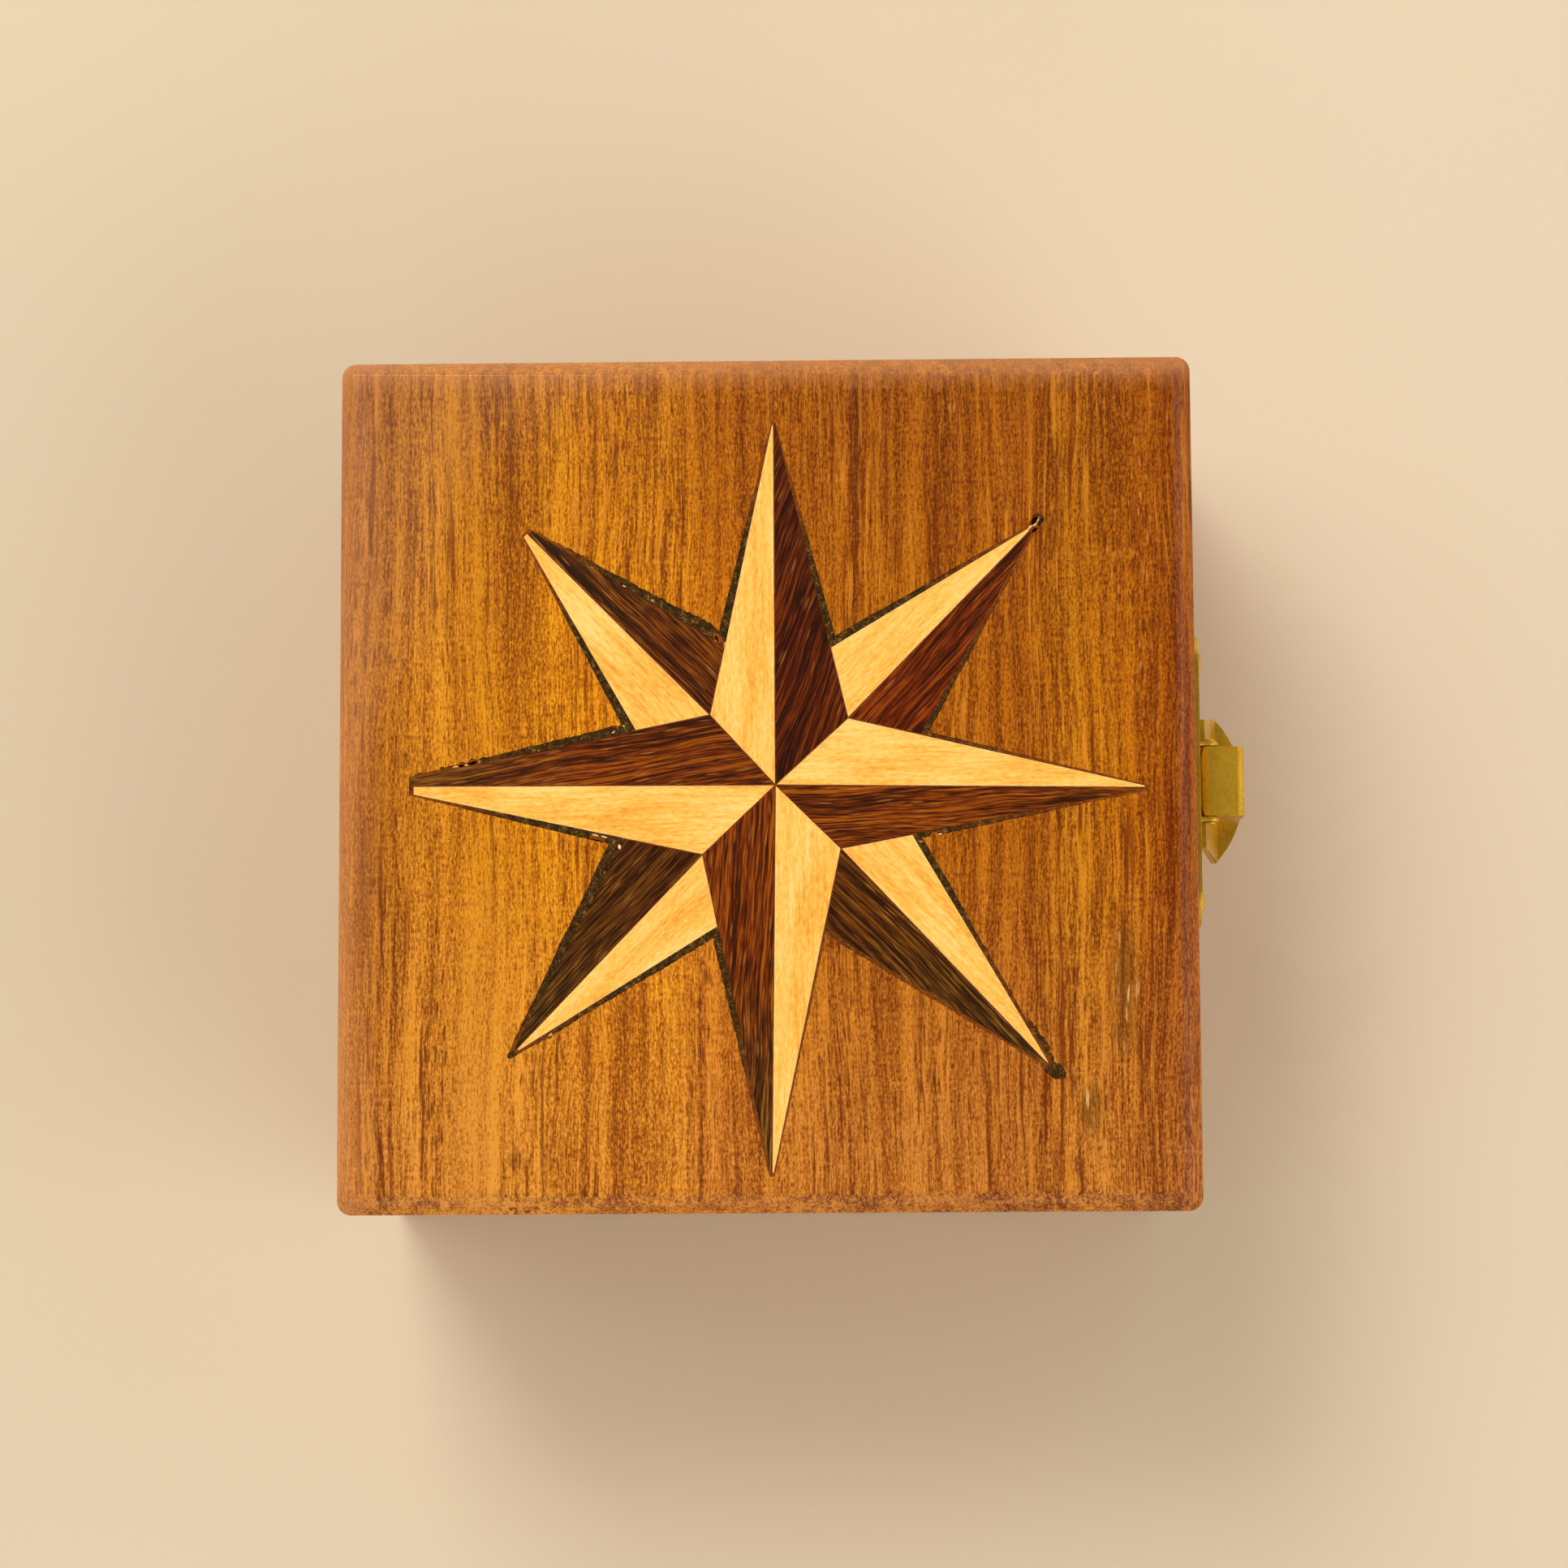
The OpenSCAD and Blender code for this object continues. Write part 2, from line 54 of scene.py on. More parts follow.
# The camera stands over the lid, with the hinge side on the left and the catch on the right.
CAMERA_PLACE = Vector((-0.0476, -0.0101, 0.5045))
CAMERA_TARGET = Vector((-0.0005, -0.0020, 0.0600))
CAMERA_TOP = Vector((1.0, -0.0056, 0.0))
CAMERA_LENS = 88.5
CAMERA_SENSOR = 36.0
CAMERA_CLIP = (0.02, 20.0)

# The sloping band round the top of the lid: its width on each side, and how far down the sides it comes.
BAND_PLUS_X = 2.1
BAND_HINGES = 1.5
BAND_MINUS_X = 2.2
BAND_CATCH = 2.3
BAND_TAPER = 0.011
BAND_DROP = 2.2
BAND_BLEND = 0.38
BAND_BELLY = 0.10
BAND_STEPS = 5
LID_CORNER = 1.7
INNER_CORNER = 0.2
CORNER_STEPS = 8
SIDE_STEPS = 40

# The small chamfer round the board's underside: its height, and its width as a share of the band's.
UNDER_RISE = 0.22
UNDER_SHARE = 0.10

# The inlay: how long the straight stretches of a cut edge are, and how the pieces sit.
CUT_STEP = 0.45
CUT_WAVE = 0.022
PIECE_EASE = 0.045
PIECE_SINK = 0.03
FILLER_SINK = 0.04
VOID_DEPTH = 0.9
SPLINTER_ROOT = 0.08
SPLINTER_RISE = 0.03
SPLINTER_TOP = 0.72

# Rounded edges of the boards and the brass that keep their CAD shape.
BOARD_EASE = 0.18
BOTTOM_EASE = 0.15
BRASS_EASE = 0.10
LEVER_EASE = 0.30
LEVER_STEPS = 4
NAIL_EASE = 0.06
WELD_REACH = 0.002
FLAT_WITHIN = 0.5
EASE_OVER = 32

# How far the lid's wood is torn out beside each piece of the star.
TORN = {
    "nw_dark": 0.40, "w_dark": 0.30, "w_light": 0.10, "nw_light": 0.08, "s_dark": 0.16,
    "sw_dark": 0.20, "sw_light": 0.24, "se_dark": 0.26, "se_light": 0.20, "ne_light": 0.12,
    "ne_dark": 0.20, "n_dark": 0.10, "n_light": 0.07, "e_light": 0.10, "e_dark": 0.20, "s_light": 0.10,
}

# Places beside the star are given by an arm, and by how far along the arm and to its left they lie from
# the star's centre.
STAR_CENTRE = (-0.6, -1.0)

# Rounded bites out of the lid's wood: place and radius. A bite that tangles the edge is made smaller.
BITE_TRIES = 6
BITE_SHRINK = 0.8
BITE_RAGGED = 0.22
BITES = [
    ("ne", 42.3, -0.15, 0.50), ("ne", 42.6, -0.15, 0.60), ("ne", 42.9, -0.1, 0.65), ("ne", 43.3, 0.0, 0.65),
    ("ne", 43.7, 0.1, 0.65), ("ne", 41.6, -0.5, 0.50), ("ne", 40.6, -0.8, 0.45), ("se", 44.9, -0.95, 0.80),
    ("se", 45.4, -0.95, 0.80), ("se", 45.8, -0.9, 0.80), ("se", 46.2, -0.85, 0.90), ("se", 46.6, -0.8, 0.80),
    ("se", 44.5, -0.65, 0.85), ("se", 43.8, -0.4, 0.90), ("se", 43.1, -0.2, 0.90), ("se", 42.4, 0.0, 0.85),
    ("se", 41.7, 0.2, 0.80), ("se", 41.0, 0.45, 0.70), ("se", 40.3, 0.7, 0.60), ("sw", 40.4, 1.5, 0.45),
    ("sw", 39.0, 1.8, 0.40), ("sw", 36.5, 2.3, 0.30), ("w", 36.4, -2.6, 0.40), ("w", 35.2, -2.9, 0.45),
    ("w", 38.7, -2.1, 0.30), ("nw", 34.5, -2.6, 0.35), ("nw", 30.2, -3.8, 0.40), ("nw", 26.5, -4.9, 0.40),
    ("e", 42.8, -0.6, 0.40), ("e", 18.4, -6.1, 0.45),
]

# Gaps in the filler: place, half length, half width, and the lean of the gap off the arm. A gap that
# comes too near a piece, the recess's edge or another gap is made smaller.
VOID_TRIES = 12
VOID_SHRINK = 0.86
VOID_CLEAR = 0.02
VOIDS = [
    ("ne", 43.3, 0.3, 0.60, 0.26, 6), ("ne", 42.5, -0.5, 0.40, 0.18, 0),
    ("e", 17.9, -6.3, 0.60, 0.26, 14), ("nw", 16.9, -7.4, 0.60, 0.18, -20),
    ("ne", 15.7, -7.2, 1.30, 0.10, 32), ("w", 36.5, -2.5, 0.32, 0.18, 8),
    ("w", 35.2, -2.8, 0.62, 0.22, 13), ("w", 20.7, 6.3, 0.80, 0.08, -12),
]

# Splinters of pale wood left in the filler: place, half length, half width, and lean off the arm.
SPLINTERS = [
    ("ne", 42.3, 0.1, 0.50, 0.14, 4), ("ne", 43.0, -0.1, 0.45, 0.12, -14),
    ("ne", 43.6, 0.0, 0.35, 0.10, 20), ("w", 37.2, -2.4, 0.40, 0.10, 10),
    ("w", 35.9, -2.6, 0.26, 0.11, 4), ("w", 34.4, -3.0, 0.24, 0.10, 50),
    ("w", 39.6, -2.1, 0.36, 0.07, 12), ("w", 20.9, 5.7, 0.55, 0.16, -10),
    ("w", 19.9, 5.9, 0.50, 0.15, -16), ("sw", 17.8, -7.8, 0.36, 0.24, 60),
    ("e", 15.2, -6.6, 0.50, 0.10, 10), ("e", 16.8, -6.7, 0.34, 0.12, 6),
    ("e", 19.0, -5.9, 0.34, 0.14, 30), ("nw", 16.5, -7.0, 0.60, 0.12, -16),
    ("nw", 15.8, -7.5, 0.40, 0.12, -60), ("w", 17.6, -7.0, 0.20, 0.12, 0),
    ("w", 18.8, -6.3, 0.26, 0.12, 30), ("sw", 38.8, 1.9, 0.34, 0.18, 8),
    ("sw", 41.1, 1.5, 0.26, 0.12, 14), ("se", 38.4, 1.6, 0.34, 0.12, 5),
    ("nw", 33.2, -3.1, 0.30, 0.08, 12), ("nw", 29.0, -4.2, 0.34, 0.09, 20),
    ("nw", 25.4, -5.3, 0.30, 0.08, 10),
]

# Which way each arm of the star points, in degrees from +X towards +Y.
ARM_ANGLE = {"n": 0, "nw": 45, "w": 90, "sw": 135, "s": 180, "se": 225, "e": 270, "ne": 315}


# ------------------------------------------------------------------ small helpers

def rgb(red, green, blue):
    """A colour given in 0-255 screen values, as the linear colour that a shader takes."""
    linear = []
    for value in (red, green, blue):
        share = value / 255
        linear.append(share / 12.92 if share <= 0.04045 else ((share + 0.055) / 1.055) ** 2.4)
    return (*linear, 1.0)


def wave(x, y, seed):
    """Smooth noise over the plane, from about -1 to 1. Each seed takes a level well away from the others."""
    return noise.noise(Vector((x, y, seed * WAVE_LEVEL)))


def node_box(name):
    """A CAD node's lowest and highest corner, in millimetres."""
    low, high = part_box(name)
    return low / MM, high / MM


class Shader:
    """One material, and the short words that its node tree is written with."""

    # The Mix node's sockets for a pair of colours.
    MIX_SHARE = 0
    MIX_FIRST = 6
    MIX_SECOND = 7
    MIX_RESULT = 2

    def __init__(self, name):
        self.material = bpy.data.materials.new(name)
        self.material.use_nodes = True
        self.tree = self.material.node_tree
        self.surface = self.tree.nodes["Principled BSDF"]

    def put(self, socket, value):
        """Links another node's output to a socket, or sets the socket to a fixed value."""
        if isinstance(value, bpy.types.NodeSocket):
            self.tree.links.new(value, socket)
        else:
            socket.default_value = value

    def node(self, kind, inputs, **settings):
        """A new node with its inputs filled in."""
        made = self.tree.nodes.new(kind)
        for key, value in settings.items():
            setattr(made, key, value)
        for key, value in inputs.items():
            self.put(made.inputs[key], value)
        return made

    def math(self, operation, first, second=0.0):
        return self.node("ShaderNodeMath", {0: first, 1: second}, operation=operation).outputs[0]

    def place(self, turn=0.0, shift=(0.0, 0.0, 0.0)):
        """Where a point lies on the object, in millimetres, turned about Z by so many degrees."""
        where = self.node("ShaderNodeTexCoord", {}).outputs["Object"]
        inputs = {"Vector": where, "Location": shift, "Rotation": (0, 0, -math.radians(turn)),
                  "Scale": (1 / MM,) * 3}
        return self.node("ShaderNodeMapping", inputs, vector_type="POINT").outputs[0]

    def gather(self, start, parts):
        """Start, plus each part's swing either side of one half times its weight."""
        total = start
        for part, weight in parts:
            swing = self.math("MULTIPLY", self.math("SUBTRACT", part, 0.5), weight)
            total = self.math("ADD", swing, total)
        return total

    def split(self, vector):
        return self.node("ShaderNodeSeparateXYZ", {0: vector}).outputs

    def join(self, x, y, z):
        return self.node("ShaderNodeCombineXYZ", {0: x, 1: y, 2: z}).outputs[0]

    def scaled(self, vector, factors):
        inputs = {0: vector, 1: factors}
        return self.node("ShaderNodeVectorMath", inputs, operation="MULTIPLY").outputs[0]

    def noise(self, vector, detail=2.0, roughness=0.5, distortion=0.0):
        inputs = {"Vector": vector, "Scale": 1.0, "Detail": detail, "Roughness": roughness,
                  "Distortion": distortion}
        return self.node("ShaderNodeTexNoise", inputs).outputs["Fac"]

    def cells(self, vector):
        """Scattered points: the distance to the nearest one, and a random number that it carries."""
        made = self.node("ShaderNodeTexVoronoi", {"Vector": vector, "Scale": 1.0})
        return made.outputs["Distance"], self.split(made.outputs["Color"])[0]

    def level(self, value, low, high, to_low=0.0, to_high=1.0):
        """Value brought from the stretch low..high to to_low..to_high, and held there outside it."""
        inputs = {"Value": value, "From Min": low, "From Max": high, "To Min": to_low, "To Max": to_high}
        return self.node("ShaderNodeMapRange", inputs, clamp=True).outputs["Result"]

    def mix(self, factor, first, second, blend="MIX"):
        made = self.node("ShaderNodeMix", {}, data_type="RGBA", blend_type=blend)
        self.put(made.inputs[self.MIX_SHARE], factor)
        self.put(made.inputs[self.MIX_FIRST], first)
        self.put(made.inputs[self.MIX_SECOND], second)
        return made.outputs[self.MIX_RESULT]

    def ramp(self, value, stops):
        """A colour that follows value through the given (place, colour) stops."""
        made = self.node("ShaderNodeValToRGB", {0: value})
        elements = made.color_ramp.elements
        while len(elements) < len(stops):
            elements.new(0.5)
        for element, (place, colour) in zip(elements, stops):
            element.position = place
            element.color = colour
        return made.outputs[0]

    def bump(self, height, depth, strength=1.0):
        """Small relief, with its depth in millimetres."""
        inputs = {"Height": height, "Distance": depth * MM, "Strength": strength}
        self.put(self.surface.inputs["Normal"], self.node("ShaderNodeBump", inputs).outputs[0])

    def finish(self, colour, roughness, **fixed):
        self.put(self.surface.inputs["Base Color"], colour)
        self.put(self.surface.inputs["Roughness"], roughness)
        for key, value in fixed.items():
            self.surface.inputs[key.replace("_", " ")].default_value = value
        return self.material

    def painted(self, name):
        """A number painted on the mesh's points or corners."""
        return self.node("ShaderNodeAttribute", {}, attribute_name=name).outputs["Fac"]


# ------------------------------------------------------------------ materials: the box's wood
# In every material below, a scale is in repeats per millimetre, along the grain and across it, and a
# weight is how strongly a noise shows in the tone.

VARNISH = {"Coat_Weight": 0.35, "Coat_Roughness": 0.10, "Specular_IOR_Level": 0.04}

# The walls' and rails' main colours.
BOARD_TONES = {
    "front": (172, 98, 24),
    "back": (186, 110, 34),
    "left": (180, 106, 30),
    "right": (176, 100, 26),
}
BOTTOM_TONE = (190, 122, 52)
BOTTOM_SHIFT = (211.0, 97.0, 3.0)

# Tones across the lid, from the catch side (-50) to the hinge side (+50). On the lid the whole run starts at
# -TONES_START,
# so that each tone lies 2.85 further towards the hinges than its place says. The run is wood colour with
# painted light in it:
# its darkening towards the catch side is partly painted shade, and the darkest tone, at -50, is painted
# shade on the catch-side band.
LID_HALF = 50
TONES_START = 47.15
TONES_SPAN = 100.0
LID_TONES_AND_SHADE = [
    (-50, (150, 74, 5)), (-45, (170, 94, 7)), (-39, (172, 102, 9)), (-33, (160, 86, 7)),
    (-20, (166, 92, 7)), (-11, (164, 90, 8)), (-3, (183, 104, 9)), (3, (180, 100, 9)),
    (10, (212, 132, 14)), (16, (202, 122, 12)), (21, (206, 128, 15)), (31, (184, 111, 14)),
    (37, (194, 120, 24)), (42, (166, 98, 20)), (50, (182, 110, 30)),
]

# Olive stains on the lid: centre in X and Y, half length and half width.
STAINS = [(-24.5, -41.2, 9.0, 1.9), (-38.0, -37.2, 3.6, 1.8)]


class Grain:
    """The run of the grain in one board, and the streaks, fibres and pores that follow it."""

    def __init__(self, shader, axis, shift):
        x, y, z = shader.split(shader.place(shift=shift))
        along, across = (x, y) if axis == "X" else (y, x)
        place = shader.join(along, across, z)
        drift = shader.noise(shader.scaled(place, (0.018, 0.05, 0.05)), 1.0)
        wiggle = shader.noise(shader.scaled(place, (0.12, 0.35, 0.35)), 1.0)
        across = shader.gather(across, ((drift, 5.0), (wiggle, 0.7)))
        self.shader = shader
        self.plain = place
        self.place = shader.join(along, across, z)
        self.broad = self.lines(0.007, 0.10, 2.0)
        self.streaks = self.lines(0.016, 0.70, 4.0, 0.62)
        self.threads = self.lines(0.15, 3.0, 2.0, 0.55)
        self.fibres = self.lines(0.55, 5.5, 2.0, 0.6)
        self.tracks = self.lines(0.05, 1.25, 3.0, 0.6)
        self.grit = shader.noise(shader.scaled(place, (2.0, 3.8, 3.8)), 2.0, 0.65)
        self.ripple = shader.noise(shader.scaled(place, (1.5, 0.30, 0.30)), 1.0)

    def lines(self, along, across, detail, roughness=0.5):
        vector = self.shader.scaled(self.place, (along, across, across))
        return self.shader.noise(vector, detail, roughness)

    def dashes(self, along, across, size, share):
        """Short dashes along the grain. Share is the part of the scattered points that has one."""
        vector = self.shader.scaled(self.place, (along, across, across))
        distance, chance = self.shader.cells(vector)
        inside = self.shader.level(distance, size * 0.55, size, 1.0, 0.0)
        return self.shader.math("MULTIPLY", inside, self.shader.math("GREATER_THAN", chance, 1 - share))


def wood(name, axis, shift, base=None, stains=False):
    """Varnished hardwood with open pores. Base is its colour, or None for the lid's own run of tones, which
    has painted shade in it.
    """
    s = Shader(name)
    grain = Grain(s, axis, shift)
    if base is None:
        base = lid_tones_and_shade(s, grain)
    patch = grain.lines(0.03, 0.16, 2.0)
    crisp = s.level(patch, 0.40, 0.60, 0.2, 1.2)
    figure = ((grain.broad, 0.8), (grain.streaks, 1.5), (grain.threads, crisp), (grain.fibres, 1.1),
              (grain.grit, 1.7), (grain.ripple, 0.25))
    shade = s.gather(0.5, figure)
    tint = s.ramp(shade, [(0.12, (0.40, 0.28, 0.20, 1)), (0.36, (0.76, 0.68, 0.58, 1)),
                          (0.54, (1.06, 1.07, 1.05, 1)), (0.86, (1.50, 1.80, 2.2, 1))])
    colour = s.mix(1.0, base, tint, "MULTIPLY")
    clumps = s.level(grain.lines(0.022, 0.30, 2.0), 0.46, 0.60)
    gaps = s.level(grain.tracks, 0.55, 0.63, 0.0, 0.70)
    slivers = s.level(grain.tracks, 0.36, 0.43, 0.46, 0.0)
    colour = s.mix(s.math("MULTIPLY", gaps, crisp), colour, rgb(112, 44, 4))
    colour = s.mix(s.math("MULTIPLY", slivers, crisp), colour, rgb(224, 144, 42))
    pores = s.math("MULTIPLY", grain.dashes(0.32, 2.0, 0.42, 0.50), clumps)
    flecks = s.math("MULTIPLY", grain.dashes(0.45, 2.4, 0.32, 0.40), clumps)
    colour = s.mix(s.math("MULTIPLY", flecks, 0.34), colour, rgb(232, 162, 76))
    colour = s.mix(s.math("MULTIPLY", pores, 0.70), colour, rgb(96, 34, 4))
    if stains:
        colour = lid_marks(s, grain, colour)
    height = s.gather(0.5, ((grain.fibres, 0.6), (grain.threads, 0.8), (gaps, -0.8), (pores, -0.9)))
    s.bump(height, 0.05, 0.8)
    rough = s.level(grain.fibres, 0.3, 0.7, 0.46, 0.34)
    rough = s.math("ADD", rough, s.math("MULTIPLY", pores, 0.2))
    return s.finish(colour, rough, **VARNISH)


def lid_tones_and_shade(s, grain):
    """The lid's colour across its width, with painted shade darkening it towards the catch side, paler
    towards its -X end and darker towards its +X end.
    """
    x, y = s.split(grain.place)[:2]
    place = s.math("DIVIDE", s.math("ADD", y, TONES_START), TONES_SPAN)
    stops = [((at + LID_HALF) / TONES_SPAN, rgb(*colour)) for at, colour in LID_TONES_AND_SHADE]
    tones = s.ramp(place, stops)
    lower = s.level(x, -8.0, -46.0, 0.0, 0.50)
    upper = s.level(x, 10.0, 44.0, 0.0, 0.34)
    tones = s.mix(lower, tones, rgb(190, 118, 52))
    return s.mix(upper, tones, rgb(118, 56, 8))


def lid_marks(s, grain, colour):
    """Olive stains near the catch with pale scratches in them, and a painted sheen that makes the +X and
    hinge-side edges paler.
    """
    x, y = s.split(grain.plain)[:2]
    ragged = s.noise(s.scaled(grain.place, (0.25, 1.3, 1.0)), 3.0, 0.7)
    marks = None
    for centre_x, centre_y, half_long, half_wide in STAINS:
        dx = s.math("DIVIDE", s.math("SUBTRACT", x, centre_x), half_long)
        dy = s.math("DIVIDE", s.math("SUBTRACT", y, centre_y), half_wide)
        round_off = s.math("ADD", s.math("POWER", s.math("ABSOLUTE", dx), 2.0),
                           s.math("POWER", s.math("ABSOLUTE", dy), 2.0))
        near = s.level(s.math("ADD", round_off, s.math("MULTIPLY", ragged, 2.2)), 1.2, 2.1, 1.0, 0.0)
        marks = near if marks is None else s.math("MAXIMUM", marks, near)
    colour = s.mix(s.math("MULTIPLY", marks, 0.55), colour, rgb(92, 58, 14))
    scratches = s.math("MULTIPLY", grain.dashes(0.33, 3.4, 0.42, 0.35), marks)
    colour = s.mix(s.math("MULTIPLY", scratches, 0.8), colour, rgb(228, 176, 118))
    # Painted sheen: the +X edge and the hinge-side edge are made paler and pinker.
    edge = s.level(s.math("ADD", x, s.math("MULTIPLY", ragged, 5.0)), 48.2, 51.5, 0.0, 0.5)
    colour = s.mix(edge, colour, rgb(206, 142, 88))
    side = s.level(s.math("ADD", y, s.math("MULTIPLY", ragged, 4.0)), 46.5, 51.5, 0.0, 0.4)
    return s.mix(side, colour, rgb(206, 136, 84))


# ------------------------------------------------------------------ materials: the inlay

def light_inlay(arm):
    """Pale close-grained wood with fine flecks along the arm, and a painted highlight along its eased cut
    edges.
    """
    s = Shader(f"pale_inlay_{arm}")
    place = s.place(ARM_ANGLE[arm], (ARM_ANGLE[arm] * 1.7, 3.0, 0.0))
    slow = s.noise(s.scaled(place, (0.08, 0.35, 0.35)), 2.0)
    flecks = s.noise(s.scaled(place, (1.0, 3.8, 3.8)), 3.0, 0.6, 0.4)
    lines = s.noise(s.scaled(place, (0.12, 2.0, 2.0)), 2.0, 0.5)
    shade = s.gather(0.5, ((slow, 0.8), (flecks, 1.0), (lines, 0.6)))
    colour = s.ramp(shade, [(0.20, rgb(234, 158, 56)), (0.45, rgb(252, 190, 84)),
                            (0.75, rgb(255, 216, 128))])
    # Painted highlight: the eased faces marked "rim" are made paler.
    rim = s.painted("rim")
    colour = s.mix(s.math("MULTIPLY", rim, 0.75), colour, rgb(255, 224, 170))
    s.bump(s.math("ADD", flecks, lines), 0.02, 0.5)
    rough = s.level(flecks, 0.3, 0.7, 0.42, 0.34)
    return s.finish(colour, rough, Coat_Weight=0.30, Coat_Roughness=0.12, Specular_IOR_Level=0.06)


# Dark pieces: how far the streaks lean off the arm in degrees, how wide they are, the main colour, how
# many pale flecks there are, and how olive the outer end is.
DARK_CUTS = {
    "n": (-20, 0.45, (80, 25, 3), 0.10, 0.1),
    "ne": (4, 0.6, (98, 32, 3), 0.04, 0.2),
    "e": (3, 0.55, (112, 46, 5), 0.25, 0.2),
    "se": (0, 0.5, (84, 40, 6), 0.30, 0.8),
    "s": (-3, 0.5, (110, 43, 4), 0.35, 0.9),
    "sw": (0, 0.5, (74, 34, 5), 0.20, 0.8),
    "w": (9, 0.6, (106, 42, 5), 0.35, 0.8),
    "nw": (0, 0.6, (90, 38, 6), 0.30, 0.7),
}


def dark_inlay(arm):
    """Dark red-brown wood with nearly black streaks and a few pale flecks, dusty towards the arm's end."""
    lean, width, main, pale, olive = DARK_CUTS[arm]
    s = Shader(f"dark_inlay_{arm}")
    place = s.place(ARM_ANGLE[arm] + lean, (0.0, ARM_ANGLE[arm] * 0.9, 5.0))
    bent = s.noise(s.scaled(place, (0.06, 0.12, 0.12)), 1.0)
    x, y, z = s.split(place)
    y = s.math("ADD", y, s.math("MULTIPLY", bent, 2.4))
    place = s.join(x, y, z)
    across = 1.0 / width
    streaks = s.noise(s.scaled(place, (0.035, across, across)), 3.0, 0.65)
    fibres = s.noise(s.scaled(place, (0.30, 4.6, 4.6)), 2.0, 0.6)
    shade = s.gather(0.5, ((streaks, 2.1), (fibres, 1.9)))
    outwards = s.level(s.math("ABSOLUTE", x), 20.0, 42.0, 0.0, olive)
    darkest = tuple(v * 0.46 for v in main)
    lightest = (main[0] * 1.35 + 8, main[1] * 1.60 + 10, main[2] * 2.0)
    colour = s.ramp(shade, [(0.22, rgb(*darkest)), (0.55, rgb(*main)), (0.86, rgb(*lightest))])
    dusty = s.ramp(shade, [(0.22, rgb(44, 26, 6)), (0.60, rgb(82, 54, 16)), (0.90, rgb(132, 92, 36))])
    colour = s.mix(outwards, colour, dusty)
    distance, chance = s.cells(s.scaled(place, (0.28, 2.6, 2.6)))
    flecks = s.math("MULTIPLY", s.level(distance, 0.16, 0.34, 1.0, 0.0),
                    s.math("GREATER_THAN", chance, 1 - pale))
    colour = s.mix(s.math("MULTIPLY", flecks, 0.42), colour, rgb(186, 122, 52))
    s.bump(s.math("ADD", fibres, streaks), 0.025, 0.6)
    rough = s.level(fibres, 0.3, 0.7, 0.44, 0.34)
    return s.finish(colour, rough, Coat_Weight=0.22, Coat_Roughness=0.12, Specular_IOR_Level=0.05)


def filler_finish():
    """Sanded wood dust and glue: mottled dark olive where it is wide, red-brown where it is a fine line."""
    s = Shader("glue_filler")
    place = s.place()
    mottle = s.noise(s.scaled(place, (1.2, 1.2, 1.2)), 4.0, 0.7)
    grains = s.noise(s.scaled(place, (5.0, 5.0, 5.0)), 2.0, 0.6)
    shade = s.math("ADD", mottle, s.math("MULTIPLY", s.math("SUBTRACT", grains, 0.5), 0.7))
    wide_fill = s.ramp(shade, [(0.28, rgb(30, 14, 2)), (0.46, rgb(56, 36, 7)), (0.60, rgb(82, 56, 17)),
                               (0.78, rgb(158, 116, 58))])
    fine_fill = s.ramp(shade, [(0.30, rgb(98, 42, 6)), (0.65, rgb(142, 76, 18))])
    wide = s.painted("wide")
    colour = s.mix(s.level(wide, 0.28, 0.64), fine_fill, wide_fill)
    s.bump(s.math("ADD", mottle, grains), 0.10, 0.8)
    return s.finish(colour, s.level(grains, 0.3, 0.7, 0.8, 0.6), Specular_IOR_Level=0.08)


def splinter_finish():
    """Raw pale wood, stained in places by the glue."""
    s = Shader("pale_splinters")
    place = s.place()
    stain = s.noise(s.scaled(place, (0.9, 0.9, 0.9)), 2.0)
    fibres = s.noise(s.scaled(place, (5.0, 5.0, 2.0)), 2.0, 0.6)
    shade = s.gather(stain, ((fibres, 0.7),))
    colour = s.ramp(shade, [(0.30, rgb(168, 112, 54)), (0.50, rgb(222, 172, 104)),
                            (0.70, rgb(252, 220, 168))])
    s.bump(fibres, 0.04, 0.6)
    return s.finish(colour, s.level(fibres, 0.3, 0.7, 0.7, 0.5), Specular_IOR_Level=0.2)


# ------------------------------------------------------------------ materials: the brass

# Each kind of brass: its colour, the colour and strength of its dull patches, and its lowest and highest
# roughness.
BRASS = {
    "hinge": ((210, 164, 62), (124, 86, 24), 0.55, 0.30, 0.50),
    "plate": ((218, 176, 58), (140, 104, 26), 0.50, 0.30, 0.48),
    "lever": ((222, 176, 50), (142, 106, 24), 0.50, 0.28, 0.46),
    "nail": ((232, 180, 66), (120, 76, 20), 0.70, 0.28, 0.48),
}


def brass(kind):
    """Stamped sheet brass: brushed one way, dulled in patches, with small pits."""
    base, tarnish, amount, rough_low, rough_high = BRASS[kind]
    s = Shader(f"{kind}_brass_finish")
    place = s.place()
    patches = s.noise(s.scaled(place, (0.22, 0.22, 0.22)), 4.0, 0.65)
    brushed = s.noise(s.scaled(place, (6.0, 0.5, 0.5)), 3.0, 0.6)
    specks = s.noise(s.scaled(place, (2.4, 2.4, 2.4)), 3.0, 0.6)
    dulled = s.level(s.gather(patches, ((specks, 0.5),)), 0.40, 0.68, 0.0, amount)
    colour = s.mix(dulled, rgb(*base), rgb(*tarnish))
    distance, chance = s.cells(s.scaled(place, (0.5, 3.5, 3.5)))
    pits = s.math("MULTIPLY", s.level(distance, 0.10, 0.22, 1.0, 0.0),
                  s.math("GREATER_THAN", chance, 0.85))
    colour = s.mix(s.math("MULTIPLY", pits, 0.35), colour, rgb(92, 62, 24))
    rough = s.gather(patches, ((brushed, 0.4),))
    rough = s.level(rough, 0.25, 0.75, rough_low, rough_high)
    s.bump(s.math("SUBTRACT", brushed, s.math("MULTIPLY", pits, 1.5)), 0.012, 0.35)
    return s.finish(colour, rough, Metallic=0.82, Specular_IOR_Level=0.3)


# ------------------------------------------------------------------ turning drawn meshes into pieces

